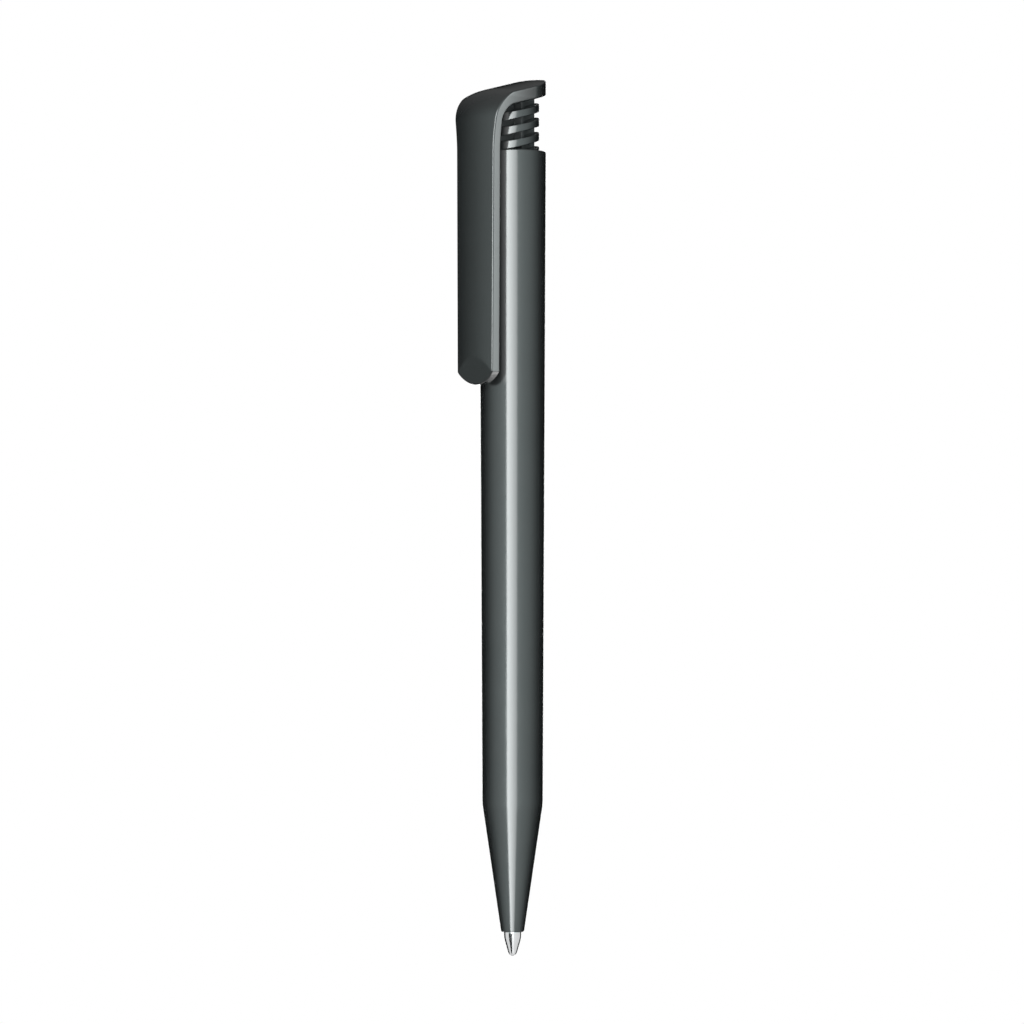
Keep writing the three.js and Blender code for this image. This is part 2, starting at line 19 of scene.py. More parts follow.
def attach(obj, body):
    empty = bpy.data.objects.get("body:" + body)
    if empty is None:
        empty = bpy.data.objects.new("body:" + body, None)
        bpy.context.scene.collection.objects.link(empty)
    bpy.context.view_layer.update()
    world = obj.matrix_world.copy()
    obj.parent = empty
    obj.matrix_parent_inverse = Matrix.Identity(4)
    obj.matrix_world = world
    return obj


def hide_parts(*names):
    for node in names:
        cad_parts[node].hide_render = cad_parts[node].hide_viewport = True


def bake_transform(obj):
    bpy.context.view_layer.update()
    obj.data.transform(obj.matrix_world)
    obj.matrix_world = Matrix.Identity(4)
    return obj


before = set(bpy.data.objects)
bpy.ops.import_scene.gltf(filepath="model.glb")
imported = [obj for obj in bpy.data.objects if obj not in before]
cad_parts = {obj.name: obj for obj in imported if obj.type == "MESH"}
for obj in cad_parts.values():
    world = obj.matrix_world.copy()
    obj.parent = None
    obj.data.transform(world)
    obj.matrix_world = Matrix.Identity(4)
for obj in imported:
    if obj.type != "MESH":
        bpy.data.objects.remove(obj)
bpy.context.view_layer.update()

log = logging.getLogger("pen")
Array = NDArray[np.float64]
Socket = bpy.types.NodeSocket
Triple = tuple[float, float, float]
Rows = tuple[tuple[float, ...], ...]
MM = 0.001

# Below these a length, an angle in radians and a gap between points count as nothing
ZERO_LENGTH = 1e-12
ZERO_ANGLE = 1e-6
ZERO_GAP = 1e-7

# Points are merged within cells of this many metres, which are shifted off the round sizes
MERGE_CELL = 2e-8
MERGE_SHIFT = 0.317


class Body(Enum):
    """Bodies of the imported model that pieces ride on."""

    CASING = "casing"
    PLUNGER = "plunger"
    REFILL = "refill"
    BALL = "ball"


class Slot(Enum):
    """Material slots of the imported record."""

    GREY_PLASTIC = "grey_plastic"
    INNER_PLASTIC = "inner_plastic"
    TUBE_PLASTIC = "tube_plastic"
    SPRING_STEEL = "spring_steel"
    NIB_METAL = "nib_metal"
    BALL_METAL = "ball_metal"
    INK = "ink"
    GREASE = "grease"


# Outlines and surfaces


def unit(vectors: Array) -> Array:
    """Each row divided by its length; a zero row stays zero."""
    length = np.linalg.norm(vectors, axis=-1, keepdims=True)
    return vectors / np.where(length > ZERO_LENGTH, length, 1.0)


def rounded_outline(rows: Array, steps: int = 8) -> Array:
    """Closed outline whose corners are arcs.

    At a corner the two edges enclose the angle 2h. The arc of radius r has its centre r / sin(h) along
    the bisector and meets the edges r / tan(h) from the corner.

    Args:
        rows: the corners, as u, v and the corner's radius, which may be zero.
        steps: straight pieces in each arc.

    Returns:
        Rows of u and v in order, without repeated points.
    """
    here, radius = rows[:, :2], rows[:, 2]
    before = unit(np.roll(here, 1, axis=0) - here)
    after = unit(np.roll(here, -1, axis=0) - here)
    half = 0.5 * np.arccos(np.clip((before * after).sum(axis=1), -1.0, 1.0))
    half = np.maximum(half, ZERO_ANGLE)
    centre = here + unit(before + after) * (radius / np.sin(half))[:, None]
    reach = (radius / np.tan(half))[:, None]
    first, last = here + before * reach - centre, here + after * reach - centre
    start = np.arctan2(first[:, 1], first[:, 0])
    sweep = np.arctan2(last[:, 1], last[:, 0]) - start
    sweep = np.arctan2(np.sin(sweep), np.cos(sweep))
    angle = start[:, None] + sweep[:, None] * np.linspace(0.0, 1.0, steps + 1)
    ray = np.stack([np.cos(angle), np.sin(angle)], axis=-1)
    points = (centre[:, None] + radius[:, None, None] * ray).reshape(-1, 2)
    return points[np.linalg.norm(points - np.roll(points, 1, axis=0), axis=1) > ZERO_GAP]


def spaced(points: Array, longest: float) -> Array:
    """Closed outline with its long edges cut into equal parts.

    Args:
        points: rows of the outline.
        longest: greatest length of an edge afterwards.

    Returns:
        Rows of the finer outline.
    """
    following = np.roll(points, -1, axis=0)
    parts = np.maximum(1, np.ceil(np.linalg.norm(following - points, axis=1) / longest)).astype(int)
    edge = np.repeat(np.arange(len(points)), parts)
    share = (np.arange(parts.sum()) - np.repeat(np.cumsum(parts) - parts, parts)) / parts[edge]
    return points[edge] + share[:, None] * (following - points)[edge]


def arc(centre: tuple[float, float], radius: float, start: float, end: float, steps: int) -> Array:
    """Points of a circular arc: centre + radius * (cos a, sin a), with a in degrees from start to end."""
    angle = np.radians(np.linspace(start, end, steps + 1))
    return np.stack([centre[0] + radius * np.cos(angle), centre[1] + radius * np.sin(angle)], axis=-1)


def corners(*rows: tuple[float, ...]) -> Array:
    """Corner rows of u, v and radius, with a radius of zero where a row leaves it out."""
    return np.array([(*row, 0.0)[:3] for row in rows], float)


@dataclass(frozen=True)
class Patch:
    """A grid of points on a surface.

    Attributes:
        points: rows by columns by x, y, z in millimetres.
        wrap_rows: the last row joins the first.
        wrap_columns: the last column joins the first.
    """

    points: Array
    wrap_rows: bool = True
    wrap_columns: bool = True

    def quads(self) -> NDArray[np.int64]:
        """Corner numbers of the grid's four-sided faces.

        Returns:
            Rows of four numbers.
        """
        rows, columns = self.points.shape[:2]
        number = np.arange(rows * columns).reshape(rows, columns)
        if self.wrap_rows:
            number = np.concatenate([number, number[:1]], axis=0)
        if self.wrap_columns:
            number = np.concatenate([number, number[:, :1]], axis=1)
        around = [number[:-1, :-1], number[1:, :-1], number[1:, 1:], number[:-1, 1:]]
        return np.stack(around, axis=-1).reshape(-1, 4)


def placed(name: str, data: bpy.types.ID) -> bpy.types.Object:
    """New object in the scene, at the origin.

    Args:
        name: its name.
        data: its mesh or camera.

    Returns:
        The object.
    """
    item = bpy.data.objects.new(name, data)
    bpy.context.scene.collection.objects.link(item)
    return item


def shade(mesh: bpy.types.Mesh, sharp: float) -> None:
    """Shades a mesh smooth, with sharp edges from an angle in degrees."""
    mesh.polygons.foreach_set("use_smooth", np.ones(len(mesh.polygons), bool))
    mesh.set_sharp_from_angle(angle=math.radians(sharp))


def shell_mesh(name: str, patches: list[Patch], sharp: float = 38.0) -> bpy.types.Mesh:
    """Mesh of closed shells, one from each patch, with every face pointing outwards.

    Points at one place are merged, so seams and poles close. A quad with a repeated corner becomes a
    triangle or is dropped. The signed volume is the sum of a . (b x c) / 6 over the triangles, and a
    shell with a negative one is turned round.

    Args:
        name: name of the mesh.
        patches: the shells.
        sharp: angle in degrees from which an edge is shaded sharp.

    Returns:
        The mesh, in metres.
    """
    vertices: list[Array] = []
    quads: list[Array] = []
    triangles: list[Array] = []
    total = 0
    for patch in patches:
        flat = patch.points.reshape(-1, 3) * MM
        cell = np.rint(flat / MERGE_CELL + MERGE_SHIFT).astype(np.int64)
        _, chosen, number = np.unique(cell, axis=0, return_index=True, return_inverse=True)
        points, faces = flat[chosen], number.reshape(-1)[patch.quads()]
        halves = np.concatenate([faces[:, [0, 1, 2]], faces[:, [0, 2, 3]]])
        a, b, c = points[halves[:, 0]], points[halves[:, 1]], points[halves[:, 2]]
        if (a * np.cross(b, c)).sum() < 0:
            faces, halves = faces[:, ::-1], halves[:, ::-1]
        whole = (np.diff(np.sort(faces, axis=1), axis=1) > 0).all(axis=1)
        broken = halves[np.concatenate([~whole, ~whole])]
        kept = broken[(np.diff(np.sort(broken, axis=1), axis=1) > 0).all(axis=1)]
        vertices.append(points)
        quads.append(faces[whole] + total)
        triangles.append(kept + total)
        total += len(points)
    faces_list = np.concatenate(quads).tolist() + np.concatenate(triangles).tolist()
    mesh = bpy.data.meshes.new(name)
    mesh.from_pydata(np.concatenate(vertices).tolist(), [], faces_list)
    shade(mesh, sharp)
    mesh.update()
    return mesh


def turned(profile: Array, segments: int) -> Patch:
    """Surface of revolution: a profile point (r, z) becomes (r cos a, r sin a, z).

    Args:
        profile: closed profile, rows of r and z.
        segments: number of steps of a round the axis.

    Returns:
        The closed surface.
    """
    angle = 2 * np.pi * np.arange(segments) / segments
    radius, height = profile[:, :1], profile[:, 1:]
    grid = np.broadcast_arrays(radius * np.cos(angle), radius * np.sin(angle), height)
    return Patch(np.stack(grid, axis=-1))


@dataclass(frozen=True)
class PlateGrid:
    """A rounded plate over a flat outline.

    Attributes:
        flat: rows round the outline, columns through the thickness, by u and v.
        through: 0 on the near face, 1 on the far face and between them on the wall, per column.
        rise: part of the edge radius to add to the depth, per column.
        edge: radius of the plate's edges.
    """

    flat: Array
    through: Array
    rise: Array
    edge: float

    def depth(self, near: Array | float, far: Array | float) -> Array:
        """Depth near + through * (far - near) + edge * rise at each grid point."""
        depth = near + self.through * (far - near) + self.edge * self.rise
        return np.broadcast_to(depth, self.flat.shape[:2])


def plate(
    outline: Array, spine: Array, edge: float, fills: int = 1, arc_steps: int = 4, walls: int = 1
) -> PlateGrid:
    """Rounded plate: near face, quarter round, wall, quarter round and far face.

    On the faces a point is spine + f * (rim - spine) with f from 0 to 1. The rim is the outline moved
    inwards by edge * (1 - sin a) along its mitred normal, with a from 0 to 90 degrees on the rounds.

    Args:
        outline: closed outline, counter-clockwise, rows of u and v.
        spine: for each outline point, the point its row runs to.
        edge: radius of the rounds.
        fills: columns on each face.
        arc_steps: columns in each round.
        walls: pieces of the wall between the rounds.

    Returns:
        The grid, open at both ends of its columns, where it meets itself on the spine.
    """
    ahead = unit(np.roll(outline, -1, axis=0) - outline)
    inward_next = np.stack([-ahead[:, 1], ahead[:, 0]], axis=-1)
    inward_last = np.roll(inward_next, 1, axis=0)
    cosine = (inward_next * inward_last).sum(axis=1, keepdims=True)
    mitre = (inward_next + inward_last) / (1 + cosine)
    face = np.arange(fills) / fills
    turn = np.linspace(0.0, np.pi / 2, arc_steps + 1)
    wall = np.linspace(0.0, 1.0, walls + 1)[1:-1]
    ones, near_inset, near_rise = np.ones_like(turn), 1 - np.sin(turn), 1 - np.cos(turn)
    fill = np.concatenate([face, ones, np.ones_like(wall), ones, face[::-1]])
    inset = np.concatenate([np.ones_like(face), near_inset, 0 * wall, near_inset[::-1], np.ones_like(face)])
    through = np.concatenate([0 * face, 0 * turn, wall, ones, np.ones_like(face)])
    rise = np.concatenate([0 * face, near_rise, 1 - 2 * wall, -near_rise[::-1], 0 * face])
    rim = outline[:, None] + mitre[:, None] * (edge * inset)[:, None]
    flat = spine[:, None] + fill[:, None] * (rim - spine[:, None])
    return PlateGrid(flat, through, rise, edge)


def plate_across_y(outline: Array, half_width: float, edge: float) -> Patch:
    """Rounded plate across the pen's plane of symmetry.

    Args:
        outline: closed outline, rows of x and z.
        half_width: reach to both sides of y = 0.
        edge: radius of the rounds.

    Returns:
        The closed surface.
    """
    grid = plate(outline, np.broadcast_to(outline.mean(axis=0), outline.shape), edge)
    y = grid.depth(-half_width, half_width)
    return Patch(np.stack([grid.flat[..., 0], y, grid.flat[..., 1]], axis=-1), wrap_columns=False)


def carved(name: str, mesh: bpy.types.Mesh, cutters: list[Patch], sharp: float = 30.0) -> bpy.types.Mesh:
    """The mesh less the space inside the cutters.

    Args:
        name: name of the new mesh.
        mesh: closed mesh.
        cutters: closed surfaces.
        sharp: angle in degrees from which an edge is shaded sharp.

    Returns:
        The carved mesh.
    """
    body = placed("carve_body", mesh)
    tool = placed("carve_tool", shell_mesh("carve_tool", cutters))
    boolean = body.modifiers.new("carve", "BOOLEAN")
    boolean.operation, boolean.solver, boolean.object = "DIFFERENCE", "EXACT", tool
    depsgraph = bpy.context.evaluated_depsgraph_get()
    result = bpy.data.meshes.new_from_object(body.evaluated_get(depsgraph), depsgraph=depsgraph)
    for item in (body, tool):
        bpy.data.objects.remove(item)
    shade(result, sharp)
    result.name = name
    return result


# Finishes

DUST_COLOUR = (0.22, 0.22, 0.21, 1.0)
CLOUDS_PER_METRE = 90.0
MARK_ROUGHNESS = 0.18
MARK_HEIGHT = -0.6
DUST_ROUGHNESS = 0.25
COAT_ROUGHNESS = 0.06


class Tree:
    """A node tree that is filled by short calls."""

    def __init__(self, tree: bpy.types.NodeTree) -> None:
        """Starts from an empty tree."""
        self.tree = tree
        tree.nodes.clear()

    def add(
        self, kind: str, inputs: dict[str | int, object] | None = None, **settings: object
    ) -> bpy.types.Node:
        """Adds one node.

        Args:
            kind: the node's type name.
            inputs: a value, or an output socket to link, for each named or numbered input.
            settings: the node's own properties.

        Returns:
            The node.
        """
        node = self.tree.nodes.new(kind)
        for key, value in settings.items():
            setattr(node, key, value)
        for key, value in (inputs or {}).items():
            if isinstance(value, Socket):
                self.tree.links.new(value, node.inputs[key])
            else:
                node.inputs[key].default_value = value
        return node

    def math(self, operation: str, first: object, second: object) -> Socket:
        """Output of a Math node."""
        return self.add("ShaderNodeMath", {0: first, 1: second}, operation=operation).outputs[0]

    def mix(self, share: Socket, first: object, second: object) -> Socket:
        """Colour between the first, at share 0, and the second, at share 1."""
        return self.add("ShaderNodeMix", {0: share, 6: first, 7: second}, data_type="RGBA").outputs[2]

    def noise(self, place: Socket, scale: object, detail: float) -> Socket:
        """Output of a Noise Texture node."""
        inputs = {"Vector": place, "Scale": scale, "Detail": detail}
        return self.add("ShaderNodeTexNoise", inputs).outputs["Fac"]

    def ramp(
        self, factor: Socket, low: float, high: float, to_low: float = 0.0, to_high: float = 1.0
    ) -> Socket:
        """Output of a clamped Map Range node."""
        inputs = {"Value": factor, "From Min": low, "From Max": high, "To Min": to_low, "To Max": to_high}
        return self.add("ShaderNodeMapRange", inputs).outputs["Result"]

    def group(self, group: bpy.types.NodeTree, inputs: dict[str | int, object]) -> Socket:
        """First output of a node group."""
        return self.add("ShaderNodeGroup", inputs, node_tree=group).outputs[0]


def new_material(name: str) -> tuple[bpy.types.Material, Tree]:
    """Material with its node tree, still empty.

    Args:
        name: its name.

    Returns:
        The material and its tree.
    """
    material = bpy.data.materials.new(name)
    material.use_nodes = True
    return material, Tree(material.node_tree)


class SurfaceEffects:
    """Node groups that several finishes share."""

    def __init__(self) -> None:
        """Builds the three groups."""
        self.grain = self._grain()
        self.scratches = self._scratches()
        self.dust = self._dust()

    @staticmethod
    def _group(
        name: str, inputs: dict[str, float], output: str
    ) -> tuple[Tree, dict[str, Socket], Socket]:
        """An empty group with a Vector input, number inputs and one number output.

        Args:
            name: name of the group.
            inputs: name and first value of each number input.
            output: name of the output.

        Returns:
            The tree, the sockets that its inputs come from and the socket that its output goes to.
        """
        group = bpy.data.node_groups.new(name, "ShaderNodeTree")
        group.interface.new_socket("Vector", in_out="INPUT", socket_type="NodeSocketVector")
        for label, value in inputs.items():
            socket = group.interface.new_socket(label, in_out="INPUT", socket_type="NodeSocketFloat")
            socket.default_value = value
        group.interface.new_socket(output, in_out="OUTPUT", socket_type="NodeSocketFloat")
        tree = Tree(group)
        given, result = tree.add("NodeGroupInput"), tree.add("NodeGroupOutput")
        return tree, {label: given.outputs[label] for label in ("Vector", *inputs)}, result.inputs[output]

    def _grain(self) -> bpy.types.NodeTree:
        """Fine moulded or drawn grain: two noises, the second four times as fine.

        Returns:
            The group.
        """
        tree, given, height = self._group("fine_grain", {"Scale": 2500.0, "Fine Share": 0.35}, "Height")
        broad = tree.noise(given["Vector"], given["Scale"], detail=2.0)
        fine = tree.noise(given["Vector"], tree.math("MULTIPLY", given["Scale"], 4.0), detail=1.0)
        share = tree.math("MULTIPLY", fine, given["Fine Share"])
        tree.tree.links.new(tree.math("ADD", broad, share), height)
        return tree.tree

    def _scratches(self) -> bpy.types.NodeTree:
        """Hairline handling marks: the crests of a noise that is drawn out along one direction.

        Returns:
            The group.
        """
        tree, given, mask = self._group("handling_marks", {"Scale": 900.0, "Amount": 0.5}, "Mask")
        drawn_out = {"Vector": given["Vector"], "Rotation": (0.5, 0.35, 0.2), "Scale": (1.0, 1.0, 0.045)}
        along = tree.add("ShaderNodeMapping", drawn_out).outputs[0]
        crest = tree.ramp(tree.noise(along, given["Scale"], detail=3.0), low=0.64, high=0.70)
        worn = tree.ramp(tree.noise(given["Vector"], 160.0, detail=1.0), low=0.45, high=0.65)
        marks = tree.math("MULTIPLY", crest, worn)
        tree.tree.links.new(tree.math("MULTIPLY", marks, given["Amount"]), mask)
        return tree.tree

    def _dust(self) -> bpy.types.NodeTree:
        """Faint film of dust and handling: soft patches broken up by fine specks.

        Returns:
            The group.
        """
        tree, given, mask = self._group("dust_film", {"Scale": 140.0, "Amount": 0.3}, "Mask")
        film = tree.ramp(tree.noise(given["Vector"], given["Scale"], detail=4.0), low=0.40, high=0.75)
        specks = tree.add("ShaderNodeTexVoronoi", {"Vector": given["Vector"], "Scale": 2600.0})
        dots = tree.ramp(specks.outputs["Distance"], low=0.05, high=0.16, to_low=1.0, to_high=0.35)
        broken = tree.math("MULTIPLY", film, dots)
        tree.tree.links.new(tree.math("MULTIPLY", broken, given["Amount"]), mask)
        return tree.tree


@dataclass(frozen=True)
class Finish:
    """One finish of the pen.

    Attributes:
        name: name of the material.
        dark: darker base colour, linear.
        light: lighter base colour, linear.
        roughness: lowest and highest roughness.
        metallic: 0 for plastic and ink, 1 for metal.
        ior: index of refraction.
        grain_scale: grains per metre.
        grain_height: height of the grain in metres.
        stretch: how far the grain is drawn out along each axis.
        marks: strength of the handling marks.
        dust: strength of the dust film.
        coat: weight of a clear coat.
    """

    name: str
    dark: Triple
    light: Triple
    roughness: tuple[float, float]
    metallic: float = 0.0
    ior: float = 1.46
    grain_scale: float = 2500.0
    grain_height: float = 4e-7
    stretch: Triple = (1.0, 1.0, 1.0)
    marks: float = 0.0
    dust: float = 0.0
    coat: float = 0.0

    def material(self, effects: SurfaceEffects) -> bpy.types.Material:
        """The finish as a material whose colour, roughness and bump change over the surface.

        Args:
            effects: the shared node groups.

        Returns:
            The material.
        """
        material, tree = new_material(self.name)
        place = tree.add("ShaderNodeTexCoord").outputs["Object"]
        drawn = tree.add("ShaderNodeMapping", {"Vector": place, "Scale": self.stretch}).outputs[0]
        grain = tree.group(effects.grain, {"Vector": drawn, "Scale": self.grain_scale})
        marks = tree.group(effects.scratches, {"Vector": place, "Amount": self.marks})
        dust = tree.group(effects.dust, {"Vector": place, "Amount": self.dust})
        tone = tree.ramp(tree.noise(place, CLOUDS_PER_METRE, detail=3.0), low=0.3, high=0.7)
        base = tree.mix(tone, (*self.dark, 1.0), (*self.light, 1.0))
        low, high = self.roughness
        smooth = tree.ramp(grain, low=0.4, high=0.9, to_low=low, to_high=high)
        scuffed = tree.math("ADD", smooth, tree.math("MULTIPLY", marks, MARK_ROUGHNESS))
        height = tree.math("ADD", grain, tree.math("MULTIPLY", marks, MARK_HEIGHT))
        bump = tree.add("ShaderNodeBump", {"Height": height, "Strength": 1.0, "Distance": self.grain_height})
        look = {
            "Base Color": tree.mix(dust, base, DUST_COLOUR),
            "Roughness": tree.math("ADD", scuffed, tree.math("MULTIPLY", dust, DUST_ROUGHNESS)),
            "Normal": bump.outputs[0],
            "Metallic": self.metallic,
            "IOR": self.ior,
            "Coat Weight": self.coat,
            "Coat Roughness": COAT_ROUGHNESS,
        }
        shader = tree.add("ShaderNodeBsdfPrincipled", look)
        tree.add("ShaderNodeOutputMaterial", {"Surface": shader.outputs[0]})
        return material


FINISHES = {
    Slot.GREY_PLASTIC: Finish(
        "gloss_grey_plastic",
        dark=(0.028, 0.032, 0.0325),
        light=(0.032, 0.0365, 0.037),
        roughness=(0.12, 0.17),
        ior=1.54,
        grain_scale=1100.0,
        grain_height=3e-7,
        marks=0.22,
        dust=0.035,
    ),
    Slot.INNER_PLASTIC: Finish(
        "moulded_inner_plastic",
        dark=(0.26, 0.28, 0.275),
        light=(0.32, 0.34, 0.33),
        roughness=(0.38, 0.55),
        grain_scale=3000.0,
        grain_height=1.5e-6,
        marks=0.15,
        dust=0.05,
    ),
    Slot.TUBE_PLASTIC: Finish(
        "refill_tube_plastic",
        dark=(0.60, 0.62, 0.60),
        light=(0.68, 0.70, 0.68),
        roughness=(0.22, 0.34),
        grain_scale=1800.0,
        grain_height=6e-7,
        stretch=(1.0, 1.0, 0.08),
        marks=0.2,
        dust=0.04,
        coat=0.3,
    ),
    Slot.SPRING_STEEL: Finish(
        "drawn_spring_steel",
        dark=(0.42, 0.43, 0.44),
        light=(0.55, 0.56, 0.57),
        metallic=1.0,
        roughness=(0.22, 0.36),
        grain_scale=4000.0,
        grain_height=6e-7,
        marks=0.3,
        dust=0.02,
    ),
    Slot.NIB_METAL: Finish(
        "plated_nib_metal",
        dark=(0.70, 0.71, 0.715),
        light=(0.80, 0.81, 0.815),
        metallic=1.0,
        roughness=(0.10, 0.18),
        grain_scale=2600.0,
        stretch=(0.25, 0.25, 3.0),
        marks=0.25,
        dust=0.02,
    ),
    Slot.BALL_METAL: Finish(
        "sintered_ball_metal",
        dark=(0.34, 0.345, 0.35),
        light=(0.46, 0.465, 0.47),
        metallic=1.0,
        roughness=(0.16, 0.30),
        grain_scale=14000.0,
        grain_height=5e-7,
        marks=0.1,
    ),
    Slot.INK: Finish(
        "dark_ink_paste",
        dark=(0.004, 0.005, 0.010),
        light=(0.006, 0.007, 0.014),
        roughness=(0.25, 0.40),
        grain_scale=1500.0,
        grain_height=8e-7,
    ),
    Slot.GREASE: Finish(
        "clear_amber_grease",
        dark=(0.55, 0.44, 0.20),
        light=(0.66, 0.55, 0.29),
        roughness=(0.30, 0.45),
        grain_scale=1700.0,
        grain_height=1e-6,
        coat=0.5,
    ),
}

GROOVE_FINISH = replace(
    FINISHES[Slot.GREY_PLASTIC],
    name="matt_grey_plastic",
    roughness=(0.60, 0.70),
    grain_scale=3200.0,
    grain_height=1.2e-6,
    dust=0.0,
)


class Dresser:
    """Turns meshes into finished pieces on their bodies."""

    def __init__(self) -> None:
        """Makes the shared effects and one material for each slot."""
        effects = SurfaceEffects()
        self.materials = {slot: finish.material(effects) for slot, finish in FINISHES.items()}
        self.groove_material = GROOVE_FINISH.material(effects)

    def piece(
        self, mesh: bpy.types.Mesh, slot: Slot, body: Body | None, node: str, groove: bool = False
    ) -> bpy.types.Object:
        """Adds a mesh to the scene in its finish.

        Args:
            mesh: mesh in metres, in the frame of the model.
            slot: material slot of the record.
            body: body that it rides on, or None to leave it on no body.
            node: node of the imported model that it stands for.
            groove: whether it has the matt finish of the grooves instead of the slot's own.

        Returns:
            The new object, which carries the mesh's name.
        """
        item = placed(mesh.name, mesh)
        mesh.materials.clear()
        mesh.materials.append(self.groove_material if groove else self.materials[slot])
        weighted = item.modifiers.new("even_shading", "WEIGHTED_NORMAL")
        weighted.keep_sharp = True
        if body is not None:
            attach(item, body.value)
        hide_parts(node)
        log.info("%s: %d faces, %s", item.name, len(mesh.polygons), slot.value)
        return item

    def dress_node(self, name: str, slot: Slot) -> None:
        """Gives a node that stays as it is the procedural material of its slot.

        Args:
            name: name of the node.
            slot: its material slot of the record.
        """
        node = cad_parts[name]
        if not node.material_slots:
            node.data.materials.append(None)
        for material_slot in node.material_slots:
            material_slot.material = self.materials[slot]
        log.info("%s: kept, %s", name, slot.value)


# Sub-assemblies, after the sizes that two of them share

RIM_RADIUS = 5.30
SHAFT_RADIUS = 4.22
CAP_UNDER_Z = 136.06
CAP_SLOPE = 0.254


@dataclass(frozen=True)
class Barrel:
    """One-piece barrel: a cone, a long slightly tapered grip, a stepped bore and the slot for the nub."""

    mouth_z: float = 3.87
    mouth_radius: float = 1.83
    mouth_bore_radius: float = 1.47
    cone_top_z: float = 24.2
    cone_top_radius: float = 4.80
    cone_blend_radius: float = 9.0
    top_z: float = 127.86
    bore_radius: float = 4.35
    shoulder_z: float = 103.95
    grip_bore_radius: float = 3.90
    cone_bore_radius: float = 3.80
    spring_bore_radius: float = 2.41
    spring_bore_z: float = 14.69
    spring_seat_z: float = 12.5
    neck_bore_radius: float = 1.68
    neck_z: float = 9.3
    slot_half_width: float = 1.35
    slot_z: float = 116.5
    slot_top_z: float = 124.6
    slot_ramp: float = 1.4
    slot_inner_x: float = -3.2
    slot_outer_x: float = -6.8
    longest_edge: float = 3.0
    segments: int = 256

    def profile(self) -> Array:
        """Closed section of the wall, rows of radius and height."""
        rows = corners(
            (self.mouth_bore_radius, self.mouth_z, 0.05),
            (self.mouth_radius, self.mouth_z, 0.16),
            (self.cone_top_radius, self.cone_top_z, self.cone_blend_radius),
            (RIM_RADIUS, self.top_z, 0.2),
            (self.bore_radius, self.top_z, 0.12),
            (self.bore_radius, self.shoulder_z),
            (self.grip_bore_radius, self.shoulder_z),
            (self.cone_bore_radius, self.cone_top_z),
            (self.spring_bore_radius, self.spring_bore_z),
            (self.spring_bore_radius, self.spring_seat_z),
            (self.neck_bore_radius, self.spring_seat_z),
            (self.neck_bore_radius, self.neck_z),
            (self.mouth_bore_radius, self.neck_z),
        )
        return rounded_outline(rows, steps=10)

    def slot_cutter(self) -> Patch:
        """Slot in the side towards -X, with a ramp out to the surface at its top.

        Returns:
            The closed surface.
        """
        ramp_z = self.slot_top_z + self.slot_ramp
        rows = [
            (self.slot_outer_x, self.slot_z),
            (self.slot_inner_x, self.slot_z),
            (self.slot_inner_x, self.slot_top_z),
            (-self.bore_radius, self.slot_top_z),
            (-RIM_RADIUS, ramp_z),
            (self.slot_outer_x, ramp_z),
        ]
        return plate_across_y(np.array(rows), self.slot_half_width, edge=0.0)

    def build(self, dresser: Dresser) -> None:
        """Turns the wall, cuts the slot and dresses the barrel.

        Args:
            dresser: dresses the pieces.
        """
        wall = shell_mesh("barrel_wall", [turned(spaced(self.profile(), self.longest_edge), self.segments)])
        barrel = carved("pen_barrel", wall, [self.slot_cutter()])
        dresser.piece(barrel, Slot.GREY_PLASTIC, Body.CASING, "barrel")


